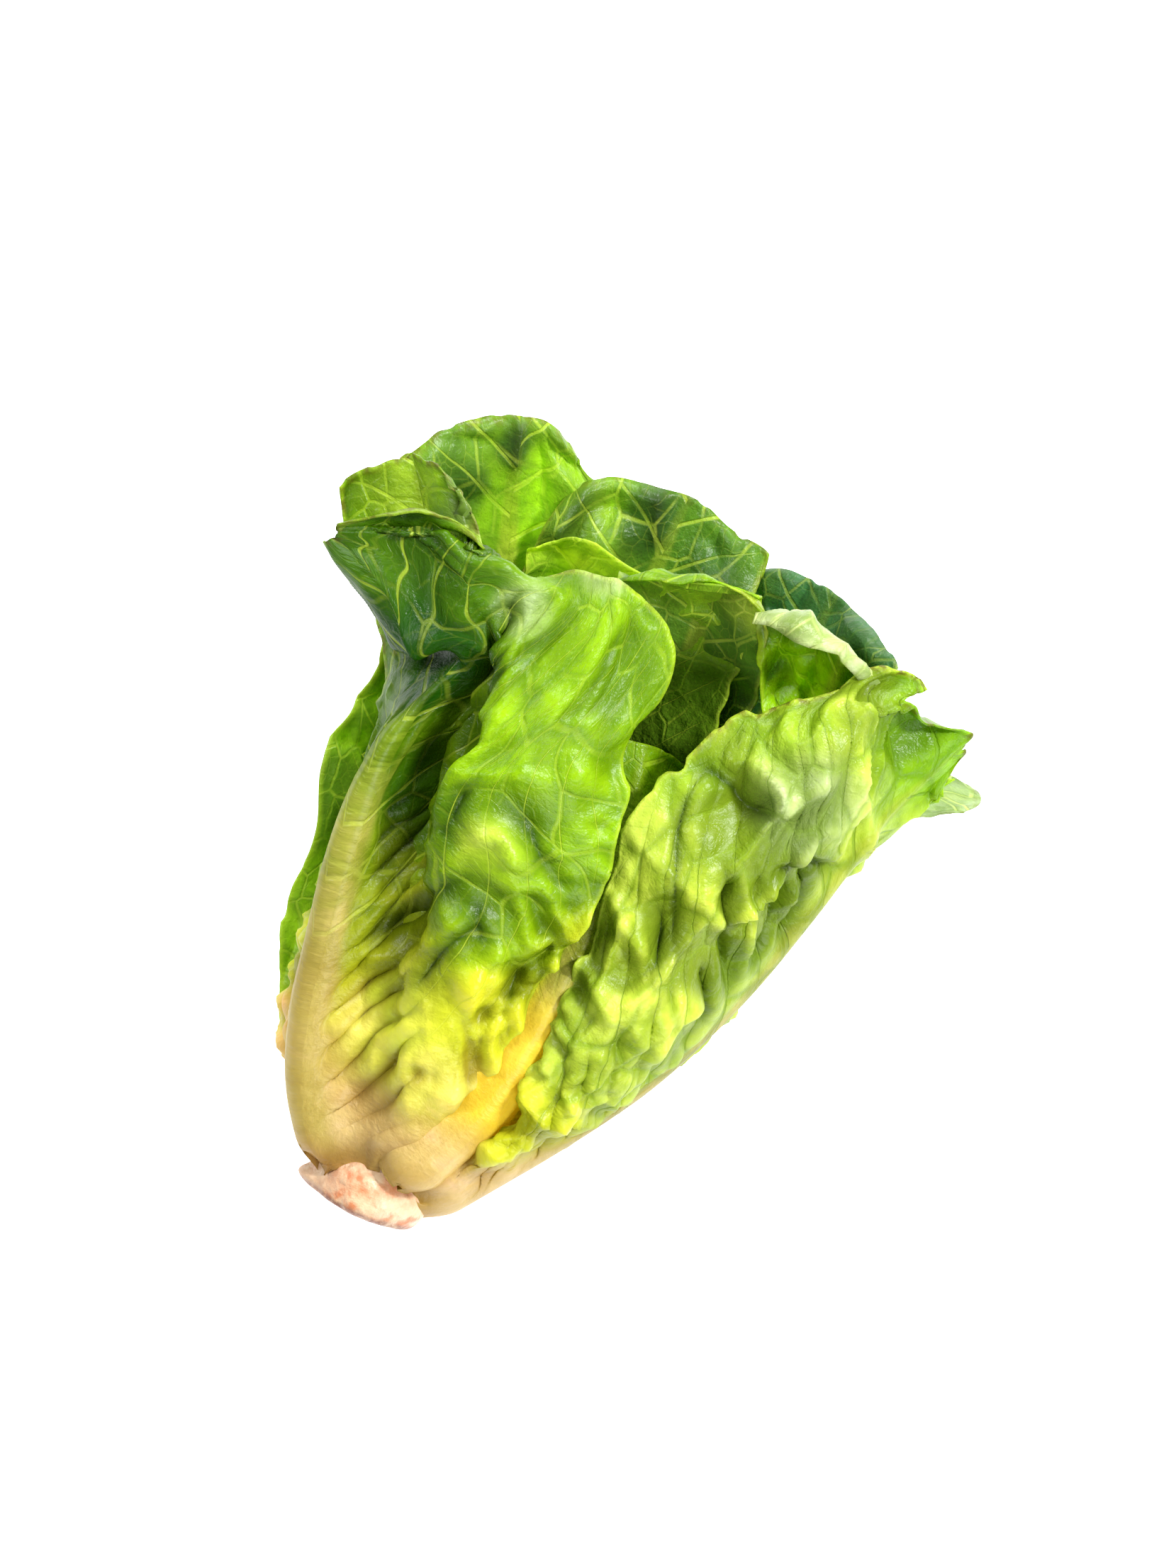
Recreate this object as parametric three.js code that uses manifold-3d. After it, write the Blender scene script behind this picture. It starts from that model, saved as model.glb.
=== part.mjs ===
// A head of cos lettuce lying on its side: one cut stem and the leaves that grow from it, each its own solid.
// Millimetres and degrees. +Y runs from the cut stem to the leaf tips and +Z is up from the surface it lies on.
import * as THREE from "three";
import { mergeVertices } from "three/addons/utils/BufferGeometryUtils.js";
import Module from "manifold-3d";

// ---------- Driving dimensions ----------
const HEAD_LENGTH = 240; // from the cut face to the furthest tip
const HEAD_WIDTH = 150; // across the body, without the spread tips
const HEAD_HEIGHT = 118; // from the surface to the top of the body
const BLADE_THICKNESS = 1.1; // leaf blade away from its rib
const RIB_THICKNESS = 6.5; // midrib where it leaves the stem
const RIB_HALF_WIDTH = 12; // midrib where it leaves the stem
const LEAF_GAP = 0.45; // clearance that each leaf keeps to the next
const STEM_RADIUS = 20; // widest part of the cut stem
const STEM_LENGTH = 62; // cut face to the growing point in the heart
const STEM_TILT = 11; // how far the head's axis rises from the surface
const LAYER_LIFT = 2.6; // how much higher each layer of pressed leaves lies than the one below

// The leaf tables are drawn for a head of this size, and follow the driving dimensions from it.
const DRAWN = { width: 150, length: 240, height: 118, stemRadius: 20, stemLength: 62 };
const STEM_CLEARANCE = 3; // the stem's cut end stays this far above the surface, carried by the leaves
const STEM_SCALE = STEM_RADIUS / DRAWN.stemRadius;
const SCALE = new THREE.Vector3(
  HEAD_WIDTH / DRAWN.width,
  HEAD_LENGTH / DRAWN.length,
  HEAD_HEIGHT / DRAWN.height,
);
const ACROSS_SCALE = (SCALE.x + SCALE.z) / 2; // blades run round the head, so their widths follow both

const RIB_STEPS = 60; // stations at which a rib's frame is worked out
const SECTION_STEPS = 24; // steps in which half a blade is walked from its rib to its margin
const OUTER_GRID = { rows: 13, columns: 4 };
const MIDDLE_GRID = { rows: 9, columns: 4 };
const HEART_GRID = { rows: 8, columns: 3 };

const wasm = await Module();
wasm.setup();

const degrees = THREE.MathUtils.degToRad;

// A smooth value from evenly spaced ones: the list is read from 0 at its start to 1 at its end.
function along(list, t) {
  const last = list.length - 1;
  const place = THREE.MathUtils.clamp(t, 0, 1) * last;
  const i = Math.min(Math.floor(place), last - 1);
  const f = place - i;
  const a = list[i];
  const b = list[i + 1];
  const before = i > 0 ? list[i - 1] : 2 * a - b;
  const after = i + 2 <= last ? list[i + 2] : 2 * b - a;
  const slopeA = (b - before) / 2;
  const slopeB = (after - a) / 2;
  const f2 = f * f;
  const f3 = f2 * f;
  return (
    a * (2 * f3 - 3 * f2 + 1) +
    slopeA * (f3 - 2 * f2 + f) +
    b * (3 * f2 - 2 * f3) +
    slopeB * (f3 - f2)
  );
}

// Where a drawn point lies on this head. Beside the stem it follows the stem's size, and further up the head's.
function placed([x, y, z]) {
  const share = THREE.MathUtils.smoothstep(y, 0, DRAWN.stemLength);
  const across = THREE.MathUtils.lerp(STEM_SCALE, SCALE.x, share);
  const up = THREE.MathUtils.lerp(STEM_SCALE, SCALE.z, share);
  return new THREE.Vector3(x * across, y * SCALE.y, z * up);
}

// How far a half blade has turned inwards round the head: one row per station up the leaf, each from rib to margin.
function turned(...margins) {
  return margins.map((margin) => [margin * 0.1, margin * 0.5, margin]);
}

// ---------- Leaves ----------
// facing is the way the back of a leaf faces at its base, clockwise from up as seen from the stem, and rib holds
// the points that its midrib passes. Each half of a blade is either drawn by lines that run beside the rib from base
// to tip, the margin last, or rolled from its widths and turns. Layers count inwards from the outside.
const LEAVES = [
  {
    name: "outer_leaf_upper_left",
    facing: -48,
    layer: 0,
    rib: [
      [-11, 6, 34], [-27, 24, 46], [-35, 42, 57], [-40, 62, 68], [-44, 84, 79],
      [-46, 106, 90], [-45, 128, 100], [-52, 142, 108], [-66, 153, 113], [-82, 159, 113],
    ],
    left: {
      lines: [
        [
          [-18, 4, 30], [-36, 26, 38], [-46, 50, 50], [-49, 72, 60], [-51, 96, 70],
          [-52, 120, 80], [-54, 137, 94], [-62, 146, 103], [-74, 152, 107], [-84, 157, 111],
        ],
        [
          [-22, 4, 24], [-42, 30, 28], [-50, 60, 36], [-53, 90, 46], [-56, 116, 58],
          [-60, 134, 74], [-68, 144, 88], [-78, 152, 98], [-85, 156, 108],
        ],
      ],
    },
    right: {
      lines: [
        [
          [-6, 8, 42], [-14, 26, 54], [-22, 50, 66], [-28, 74, 74], [-32, 98, 83],
          [-34, 120, 90], [-36, 140, 100], [-48, 158, 114], [-66, 163, 119], [-83, 160, 115],
        ],
        [
          [-2, 9, 44], [-6, 28, 58], [-13, 54, 72], [-21, 80, 84], [-25, 104, 96],
          [-22, 128, 107], [-24, 150, 112], [-40, 164, 118], [-62, 168, 123], [-83, 161, 116],
        ],
        [
          [3, 12, 46], [3, 32, 60], [2, 58, 76], [1, 84, 88], [4, 110, 100],
          [0, 136, 108], [-6, 160, 113], [-26, 170, 115], [-52, 172, 124], [-84, 162, 116],
        ],
        [
          [8, 18, 45], [11, 34, 55], [12, 52, 65], [15, 76, 75], [24, 96, 84], [25, 114, 90], [20, 134, 95],
          [14, 152, 98], [16, 167, 102], [8, 181, 106], [-12, 184, 111], [-27, 177, 112], [-42, 171, 118],
          [-60, 175, 125], [-84, 163, 117],
        ],
      ],
    },
    shoulder: 0,
  },
  {
    name: "outer_leaf_right",
    facing: 95,
    layer: 0,
    rib: [
      [14, 6, 24], [29, 26, 27], [44, 48, 30], [58, 72, 34], [69, 98, 40],
      [77, 124, 48], [82, 146, 60], [84, 166, 73], [88, 182, 79], [99, 200, 80],
    ],
    left: {
      lines: [
        [
          [16, 8, 30], [34, 30, 42], [50, 52, 50], [62, 76, 56], [69, 100, 62],
          [74, 124, 68], [75, 146, 78], [72, 166, 90], [76, 184, 93], [98, 201, 81],
        ],
        [
          [14, 10, 36], [33, 32, 54], [44, 54, 66], [51, 80, 74], [55, 104, 80],
          [57, 126, 86], [56, 146, 92], [56, 166, 97], [64, 184, 97], [98, 202, 82],
        ],
        [
          [12, 14, 40], [25, 29, 46], [31, 54, 58], [27, 78, 70], [27, 96, 77], [25, 118, 83], [22, 135, 88],
          [29, 152, 90], [37, 172, 93], [52, 183, 94], [60, 194, 96], [70, 202, 94], [86, 204, 86], [98, 203, 82],
        ],
      ],
    },
    right: {
      lines: [
        [
          [16, 6, 15], [32, 28, 17], [48, 52, 18], [62, 76, 22], [72, 102, 29],
          [80, 128, 38], [86, 152, 50], [90, 166, 60], [93, 180, 68], [99, 199, 79],
        ],
        [
          [14, 8, 8], [30, 32, 8], [45, 58, 9], [59, 84, 13], [70, 110, 20],
          [80, 138, 32], [86, 158, 44], [92, 173, 50], [98, 184, 60], [91, 190, 72], [99, 198, 78],
        ],
      ],
    },
    shoulder: 0,
  },
  {
    name: "outer_leaf_left",
    facing: -125,
    layer: 0,
    rib: [[-13, 8, 11], [-34, 34, 8], [-47, 66, 7], [-54, 98, 9], [-58, 128, 15], [-62, 156, 30], [-68, 176, 50]],
    left: { width: [8, 24, 32, 32, 30, 22], turn: turned(0, 10, 20, 20, 20) },
    right: {
      lines: [
        [[-20, 8, 16], [-42, 38, 16], [-54, 72, 18], [-60, 104, 24], [-63, 132, 32], [-66, 156, 44], [-69, 178, 54]],
        [[-24, 10, 22], [-47, 42, 24], [-58, 60, 28], [-62, 86, 37], [-67, 108, 44], [-69, 128, 50], [-68, 144, 56],
          [-69, 160, 60], [-70, 179, 58]],
      ],
    },
    shoulder: 0.08,
  },
  {
    name: "outer_leaf_lower_left",
    facing: -150,
    layer: 1,
    rib: [[-7, 8, 9], [-20, 50, 6], [-30, 100, 7], [-38, 145, 14], [-46, 182, 36], [-55, 208, 60], [-61, 225, 79]],
    left: { width: [12, 30, 38, 44, 42, 34], turn: turned(10, 30, 30, 0) },
    right: { width: [12, 30, 40, 46, 42, 34], turn: turned(10, 40, 40, 10) },
    shoulder: 0.2,
  },
  {
    name: "outer_leaf_bottom",
    facing: 180,
    layer: 2,
    rib: [[0, 10, 11], [0, 50, 8], [-2, 100, 9], [-4, 150, 17], [-6, 190, 34], [-8, 218, 50], [-8, 236, 60]],
    left: { width: [12, 30, 40, 44, 40, 32], turn: turned(10, 30, 30, 10) },
    right: { width: [12, 30, 40, 44, 40, 32], turn: turned(10, 30, 30, 10) },
    shoulder: 0.16,
  },
  {
    name: "outer_leaf_lower_right",
    facing: 145,
    layer: 1,
    rib: [[7, 8, 9], [22, 50, 6], [33, 100, 8], [39, 150, 18], [43, 185, 40], [45, 208, 58], [46, 225, 68]],
    left: { width: [12, 30, 40, 44, 40, 32], turn: turned(10, 40, 40, 20) },
    right: { width: [12, 30, 40, 44, 40, 32], turn: turned(10, 30, 40, 20) },
    shoulder: 0.16,
  },
  {
    name: "outer_leaf_far_right",
    facing: 125,
    layer: 0,
    rib: [[13, 8, 11], [32, 45, 6], [47, 90, 6], [58, 128, 9], [68, 158, 14], [86, 182, 20], [112, 195, 23]],
    left: { width: [8, 20, 26, 26, 22, 12], turn: turned(10, 40, 40, 10) },
    right: { width: [8, 20, 26, 26, 22, 12], turn: turned(0, 20, 10, 0) },
    shoulder: 0.1,
  },
  {
    name: "middle_leaf_upper_left",
    facing: -66,
    layer: 1,
    rib: [[-12, 16, 31], [-28, 50, 46], [-35, 88, 61], [-39, 122, 75], [-47, 150, 90], [-60, 172, 103], [-76, 186, 111]],
    left: {
      lines: [
        [[-16, 18, 26], [-36, 52, 38], [-45, 90, 50], [-49, 122, 64], [-58, 146, 84], [-70, 162, 98], [-81, 178, 109]],
        [[-20, 20, 22], [-42, 54, 30], [-50, 92, 42], [-54, 122, 56], [-64, 144, 78], [-78, 156, 96], [-87, 168, 108]],
      ],
    },
    right: {
      lines: [
        [[-6, 18, 34], [-16, 50, 54], [-20, 86, 72], [-20, 120, 86], [-26, 150, 99], [-44, 174, 108], [-66, 188, 113]],
        [[2, 20, 34], [-4, 50, 54], [-4, 86, 70], [-2, 120, 82], [-8, 150, 93], [-28, 174, 104], [-54, 187, 114]],
      ],
    },
    shoulder: 0,
  },
  {
    name: "middle_leaf_left",
    facing: -96,
    layer: 1,
    rib: [[-15, 14, 24], [-38, 50, 30], [-49, 95, 38], [-54, 130, 48], [-57, 158, 62], [-58, 180, 78]],
    left: { width: [10, 24, 30, 32, 28], turn: turned(30, 60, 60, 40) },
    right: { width: [10, 24, 32, 34, 28], turn: turned(30, 50, 40, 30) },
    shoulder: 0.12,
  },
  {
    name: "middle_leaf_top",
    facing: 34,
    layer: 1,
    rib: [[8, 12, 42], [16, 27, 49], [22, 44, 55], [25, 68, 62], [26, 100, 69], [22, 130, 74], [16, 156, 78]],
    left: { width: [10, 28, 36, 38, 30], turn: turned(50, 80, 90, 70) },
    right: { width: [10, 26, 36, 38, 30], turn: turned(50, 80, 90, 70) },
    shoulder: 0.12,
  },
  {
    name: "middle_leaf_right",
    facing: 118,
    layer: 1,
    rib: [[12, 16, 22], [31, 55, 24], [45, 95, 31], [53, 135, 43], [57, 170, 60], [57, 192, 80], [50, 205, 95]],
    left: { width: [10, 30, 42, 46, 36, 22], turn: turned(50, 70, 70, 60) },
    right: { width: [10, 30, 40, 42, 32, 20], turn: turned(30, 50, 60, 40) },
    shoulder: 0.1,
  },
  {
    name: "middle_leaf_lower_right",
    facing: 160,
    layer: 3,
    rib: [[5, 18, 17], [12, 60, 17], [17, 105, 22], [20, 145, 36], [18, 176, 58], [13, 194, 80], [8, 200, 95]],
    left: { width: [10, 28, 38, 42, 34, 22], turn: turned(50, 70, 60, 60) },
    right: { width: [10, 28, 38, 42, 34, 22], turn: turned(50, 70, 60, 60) },
    shoulder: 0.1,
  },
  {
    name: "middle_leaf_lower_left",
    facing: -160,
    layer: 3,
    rib: [[-5, 18, 16], [-14, 60, 15], [-20, 105, 20], [-24, 145, 32], [-25, 174, 52], [-24, 190, 76], [-22, 197, 92]],
    left: { width: [10, 28, 38, 42, 34, 22], turn: turned(50, 70, 60, 40) },
    right: { width: [10, 28, 38, 42, 34, 22], turn: turned(50, 70, 60, 40) },
    shoulder: 0.1,
  },
];

// The heart: young leaves set round the growing point at the golden angle, each smaller and more upright.
const HEART = { leaves: 6, layer: 4, firstFacing: 70, goldenAngle: 137.5, radius: 27, shrink: 3.4, reach: 168, fall: 7 };

function heartLeaf(i) {
  const facing = HEART.firstFacing + i * HEART.goldenAngle;
  const radius = HEART.radius - i * HEART.shrink;
  const reach = HEART.reach - i * HEART.fall;
  const spread = [0.3, 0.75, 1, 1, 0.8, 0.45];
  const rib = spread.map((share, k) => {
    const t = k / (spread.length - 1);
    const axis = [-8 * t, 26 + 2 * i + (reach - 26) * t, 27 + 42 * t];
    const angle = degrees(facing);
    return [axis[0] + radius * share * Math.sin(angle), axis[1], axis[2] + radius * share * Math.cos(angle)];
  });
  const width = [0.3, 0.8, 1.15, 1.3, 1.1, 0.8].map((share) => share * radius);
  const half = { width, turn: turned(50, 80, 90, 80) };
  return { name: `heart_leaf_${i + 1}`, facing, layer: HEART.layer, rib, left: half, right: half, shoulder: 0.14 };
}

function smoothLine(points) {
  return new THREE.CatmullRomCurve3(points.map(placed), false, "centripetal");
}

// The rib of a leaf, cut into even stations that each know their place, the way along, the way out and the way across.
function ribFrames(leaf) {
  const curve = smoothLine(leaf.rib);
  curve.arcLengthDivisions = 400;
  const places = curve.getSpacedPoints(RIB_STEPS);
  const facing = degrees(leaf.facing);
  let out = new THREE.Vector3(Math.sin(facing), 0, Math.cos(facing));
  return places.map((place, i) => {
    const before = places[Math.max(i - 1, 0)];
    const after = places[Math.min(i + 1, RIB_STEPS)];
    const way = after.clone().sub(before).normalize();
    out = out.clone().addScaledVector(way, -out.dot(way)).normalize();
    return { place, way, out, side: way.clone().cross(out) };
  });
}

function frameAt(frames, v) {
  const place = THREE.MathUtils.clamp(v, 0, 1) * RIB_STEPS;
  const i = Math.min(Math.floor(place), RIB_STEPS - 1);
  const f = place - i;
  const mix = (key) => frames[i][key].clone().lerp(frames[i + 1][key], f);
  return { place: mix("place"), out: mix("out").normalize(), side: mix("side").normalize() };
}

// Walks half a blade from its rib to its margin, and returns how far across and out each column has come.
function rolledSection(half, v, columns) {
  const width = along(half.width, v) * ACROSS_SCALE;
  const walked = [[0, 0]];
  for (let i = 0; i < SECTION_STEPS; i++) {
    const q = (i + 0.5) / SECTION_STEPS;
    const turn = degrees(along(half.turn.map((row) => along(row, q)), v));
    const [x, y] = walked[i];
    const step = width / SECTION_STEPS;
    walked.push([x + Math.cos(turn) * step, y - Math.sin(turn) * step]);
  }
  return columns.map((q) => {
    const place = q * SECTION_STEPS;
    const i = Math.min(Math.floor(place), SECTION_STEPS - 1);
    const f = place - i;
    return {
      across: walked[i][0] * (1 - f) + walked[i + 1][0] * f,
      out: walked[i][1] * (1 - f) + walked[i + 1][1] * f,
      fromRib: q * width,
    };
  });
}

function thicknessAt(v, fromRib) {
  const rib = THREE.MathUtils.lerp(RIB_THICKNESS, BLADE_THICKNESS, Math.pow(v, 0.7));
  const halfWidth = THREE.MathUtils.lerp(RIB_HALF_WIDTH, 2, Math.pow(v, 0.6));
  return BLADE_THICKNESS + (rib - BLADE_THICKNESS) * Math.exp(-((fromRib / halfWidth) ** 2));
}

// How far the corners of a tip drop back behind its middle, to round it.
function tipDrop(leaf, share, v) {
  return leaf.shoulder * (1 - Math.sqrt(1 - 0.97 * share ** 2)) * v ** 4;
}

// The places of one row of a rolled half blade.
function rolledRow(leaf, half, sign, frames, v, shares) {
  return rolledSection(half, v, shares).map((point, i) => {
    const frame = frameAt(frames, v - tipDrop(leaf, shares[i], v));
    const place = frame.place
      .clone()
      .addScaledVector(frame.side, sign * point.across)
      .addScaledVector(frame.out, point.out);
    return { place, fromRib: point.fromRib };
  });
}

// The places of one row of a drawn half blade: a smooth curve across its lines, from the rib outwards.
function drawnRow(curves, v, shares) {
  const across = new THREE.CatmullRomCurve3(curves.map((curve) => curve.getPointAt(v)), false, "centripetal");
  const rib = across.getPoint(0);
  return shares.map((share) => {
    const place = across.getPoint(share);
    return { place, fromRib: place.distanceTo(rib) };
  });
}

// The leaf as a sheet of points, each with the blade's thickness there, in rows from base to tip.
function leafSheet(leaf) {
  const grid = leaf.layer === 0 ? OUTER_GRID : leaf.layer === HEART.layer ? HEART_GRID : MIDDLE_GRID;
  const frames = ribFrames(leaf);
  const halves = [leaf.left, leaf.right].map((half, k) => {
    if (half.lines) {
      const curves = [leaf.rib, ...half.lines].map(smoothLine);
      const steps = half.lines.length * 2;
      const shares = Array.from({ length: steps + 1 }, (_, i) => i / steps);
      return (v) => drawnRow(curves, v, shares);
    }
    const shares = Array.from({ length: grid.columns + 1 }, (_, i) => (i / grid.columns) ** 1.25);
    return (v) => rolledRow(leaf, half, 2 * k - 1, frames, v, shares);
  });
  return Array.from({ length: grid.rows + 1 }, (_, j) => {
    const v = j / grid.rows;
    const [left, right] = halves.map((row) =>
      row(v).map(({ place, fromRib }) => ({ place, thickness: thicknessAt(v, fromRib) })),
    );
    return [...left.slice(1).reverse(), ...right];
  });
}

// The point that lies beyond the edge of a sheet, as far out as the clearance.
function beyond(edge, next) {
  const way = edge.place.clone().sub(next.place).setLength(LEAF_GAP);
  return { place: edge.place.clone().add(way), thickness: edge.thickness };
}

// Widens a sheet by the clearance on all four sides.
function widened(sheet) {
  const wide = sheet.map((row) => [beyond(row[0], row[1]), ...row, beyond(row.at(-1), row.at(-2))]);
  const first = wide[0].map((edge, i) => beyond(edge, wide[1][i]));
  const last = wide.at(-1).map((edge, i) => beyond(edge, wide.at(-2)[i]));
  return [first, ...wide, last];
}

// The two skins of a sheet: its back is offset outwards by the blade's thickness, and grow moves both apart.
// A point that would sink into the surface below is lifted to it.
function skins(sheet, layer, grow) {
  const floor = layer * LAYER_LIFT;
  const inner = [];
  const outer = [];
  sheet.forEach((row, j) => {
    const rowBefore = sheet[Math.max(j - 1, 0)];
    const rowAfter = sheet[Math.min(j + 1, sheet.length - 1)];
    row.forEach(({ place, thickness }, i) => {
      const across = row[Math.min(i + 1, row.length - 1)].place.clone().sub(row[Math.max(i - 1, 0)].place);
      const normal = across.cross(rowAfter[i].place.clone().sub(rowBefore[i].place)).normalize();
      const back = place.clone().addScaledVector(normal, thickness);
      const lift = Math.max(0, floor - Math.min(back.z, place.z));
      outer.push(back.addScaledVector(normal, grow).setZ(back.z + lift));
      inner.push(place.clone().addScaledVector(normal, -grow).add(new THREE.Vector3(0, 0, lift)));
    });
  });
  return { inner, outer, columns: sheet[0].length, rows: sheet.length };
}

// Closes two skins with a rim into one solid.
function solidOfSkins({ inner, outer, columns, rows }) {
  const points = [...outer, ...inner];
  const half = outer.length;
  const triangles = [];
  const quad = (a, b, c, d) => triangles.push(a, b, c, a, c, d);
  const at = (j, i) => j * columns + i;
  for (let j = 0; j < rows - 1; j++) {
    for (let i = 0; i < columns - 1; i++) {
      quad(at(j, i), at(j, i + 1), at(j + 1, i + 1), at(j + 1, i));
      quad(half + at(j, i), half + at(j + 1, i), half + at(j + 1, i + 1), half + at(j, i + 1));
    }
  }
  const rim = (a, b) => quad(a, half + a, half + b, b);
  for (let i = 0; i < columns - 1; i++) {
    rim(at(0, i), at(0, i + 1));
    rim(at(rows - 1, i + 1), at(rows - 1, i));
  }
  for (let j = 0; j < rows - 1; j++) {
    rim(at(j + 1, 0), at(j, 0));
    rim(at(j, columns - 1), at(j + 1, columns - 1));
  }
  return new wasm.Manifold(
    new wasm.Mesh({
      numProp: 3,
      vertProperties: new Float32Array(points.flatMap((p) => p.toArray())),
      triVerts: new Uint32Array(triangles),
    }),
  );
}

// ---------- Stem ----------
function stemGeometry(grow) {
  const profile = [
    [0, -grow],
    [STEM_RADIUS * 0.82 + grow, -grow],
    [STEM_RADIUS * 0.95 + grow, STEM_RADIUS * 0.12],
    [STEM_RADIUS + grow, STEM_RADIUS * 0.4],
    [STEM_RADIUS * 0.8 + grow, STEM_LENGTH * 0.3],
    [STEM_RADIUS * 0.45 + grow, STEM_LENGTH * 0.65],
    [STEM_RADIUS * 0.15 + grow, STEM_LENGTH],
    [0, STEM_LENGTH + grow],
  ].map(([r, y]) => new THREE.Vector2(r, y));
  return new THREE.LatheGeometry(profile, 24)
    .rotateX(degrees(STEM_TILT))
    .translate(0, 0, STEM_RADIUS + STEM_CLEARANCE);
}

function solidOfGeometry(geometry) {
  const bare = new THREE.BufferGeometry()
    .setAttribute("position", geometry.getAttribute("position"))
    .setIndex(geometry.getIndex());
  const merged = mergeVertices(bare, 1e-3);
  return new wasm.Manifold(
    new wasm.Mesh({
      numProp: 3,
      vertProperties: merged.attributes.position.array,
      triVerts: new Uint32Array(merged.index.array),
    }),
  );
}

function geometryOf(solid) {
  const { vertProperties, triVerts, numProp } = solid.getMesh();
  const points = [];
  for (let i = 0; i < vertProperties.length; i += numProp) {
    points.push(...vertProperties.subarray(i, i + 3));
  }
  const geometry = new THREE.BufferGeometry();
  geometry.setAttribute("position", new THREE.Float32BufferAttribute(points, 3));
  geometry.setIndex([...triVerts]);
  geometry.computeVertexNormals();
  return geometry;
}

// ---------- Assembly ----------
const LEAF_GREEN = new THREE.Color(0.28, 0.5, 0.08);
const head = new THREE.Group();

function add(name, solid, colour) {
  const material = new THREE.MeshStandardMaterial({ color: colour, roughness: 0.45, metalness: 0 });
  const mesh = new THREE.Mesh(geometryOf(solid), material);
  mesh.name = name;
  head.add(mesh);
}

const largest = (solid) =>
  solid.decompose().reduce((most, piece) => (piece.volume() > most.volume() ? piece : most));

add("stem", solidOfGeometry(stemGeometry(0)), new THREE.Color(0.85, 0.7, 0.55));
const cutters = [solidOfGeometry(stemGeometry(LEAF_GAP))];
const heart = Array.from({ length: HEART.leaves }, (_, i) => heartLeaf(i));
for (const leaf of [...LEAVES, ...heart]) {
  const sheet = leafSheet(leaf);
  let solid = solidOfSkins(skins(sheet, leaf.layer, 0));
  for (const cutter of cutters) {
    solid = solid.subtract(cutter);
  }
  solid = largest(solid);
  add(leaf.name, solid, LEAF_GREEN);
  cutters.push(solidOfSkins(skins(widened(sheet), leaf.layer, LEAF_GAP)).add(solid));
}

// The origin lies on the surface, below the middle of the head.
const bounds = new THREE.Box3().setFromObject(head);
const middle = bounds.getCenter(new THREE.Vector3());
head.position.set(-middle.x, -middle.y, -bounds.min.z);

export default head;
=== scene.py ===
"""A head of cos lettuce lying on its side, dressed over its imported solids.

Every leaf is one sheet: it is laid out on a flat grid, bent to its place, given its pleats,
ruffles and blisters, and then thickened towards its back, most along the midrib.
"""

from __future__ import annotations

import logging
import math
from dataclasses import dataclass
from enum import Enum

import bmesh
import bpy
import numpy as np
from mathutils import Matrix, Vector


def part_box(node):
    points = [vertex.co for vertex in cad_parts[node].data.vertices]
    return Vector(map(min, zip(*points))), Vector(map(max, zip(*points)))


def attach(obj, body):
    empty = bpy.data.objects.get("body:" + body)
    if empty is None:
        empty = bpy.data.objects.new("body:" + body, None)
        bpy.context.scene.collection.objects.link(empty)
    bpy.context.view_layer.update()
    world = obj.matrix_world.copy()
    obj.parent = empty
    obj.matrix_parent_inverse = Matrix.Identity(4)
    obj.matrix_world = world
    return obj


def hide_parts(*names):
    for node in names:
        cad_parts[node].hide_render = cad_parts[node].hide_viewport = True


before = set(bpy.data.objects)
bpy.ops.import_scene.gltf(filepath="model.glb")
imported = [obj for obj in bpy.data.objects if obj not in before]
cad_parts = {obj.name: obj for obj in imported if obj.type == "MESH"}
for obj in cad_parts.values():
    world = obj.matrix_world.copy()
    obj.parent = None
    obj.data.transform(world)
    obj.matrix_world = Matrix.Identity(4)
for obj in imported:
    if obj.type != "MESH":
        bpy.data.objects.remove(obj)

log = logging.getLogger("lettuce")

MM = 0.001
Point = tuple[float, float, float]
Line = tuple[Point, ...]

# The lowest corner of the stem as it is drawn, before the head is centred over the origin.
STEM_DRAWN_CORNER = (-20.0, -3.13, 4.81)

# Lengths below this count as nothing.
TINY = 1e-6

# How finely splines are read before their places are spaced evenly, along a leaf and across half of it.
SPLINE_STEPS = 600
ACROSS_STEPS = 160


# ---------------------------------------------------------------- curves and noise


def catmull_rom(points: np.ndarray, t: np.ndarray) -> np.ndarray:
    """Reads a centripetal spline.

    Args:
        points: Control points, shaped (..., count, 3).
        t: Where to read it, from 0 at the first point to 1 at the last.

    Returns:
        The places, shaped (..., len(t), 3).
    """
    count = points.shape[-2]
    first = 2 * points[..., :1, :] - points[..., 1:2, :]
    last = 2 * points[..., -1:, :] - points[..., -2:-1, :]
    padded = np.concatenate([first, points, last], axis=-2)
    spot = np.clip(t, 0, 1) * (count - 1)
    index = np.minimum(spot.astype(int), count - 2)
    weight = (spot - index)[:, None]
    p0, p1, p2, p3 = (padded[..., index + k, :] for k in range(4))
    gap0, gap1, gap2 = (
        np.maximum(np.linalg.norm(b - a, axis=-1, keepdims=True), TINY) ** 0.5
        for a, b in ((p0, p1), (p1, p2), (p2, p3))
    )
    slope1 = ((p1 - p0) / gap0 - (p2 - p0) / (gap0 + gap1) + (p2 - p1) / gap1) * gap1
    slope2 = ((p2 - p1) / gap1 - (p3 - p1) / (gap1 + gap2) + (p3 - p2) / gap2) * gap1
    w2, w3 = weight**2, weight**3
    return (
        p1 * (2 * w3 - 3 * w2 + 1)
        + slope1 * (w3 - 2 * w2 + weight)
        + p2 * (3 * w2 - 2 * w3)
        + slope2 * (w3 - w2)
    )


def line(text: str) -> Line:
    """Reads a line from its points, parted by commas, each written as x y z in millimetres."""
    return tuple(tuple(float(number) for number in point.split()) for point in text.split(","))


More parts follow.
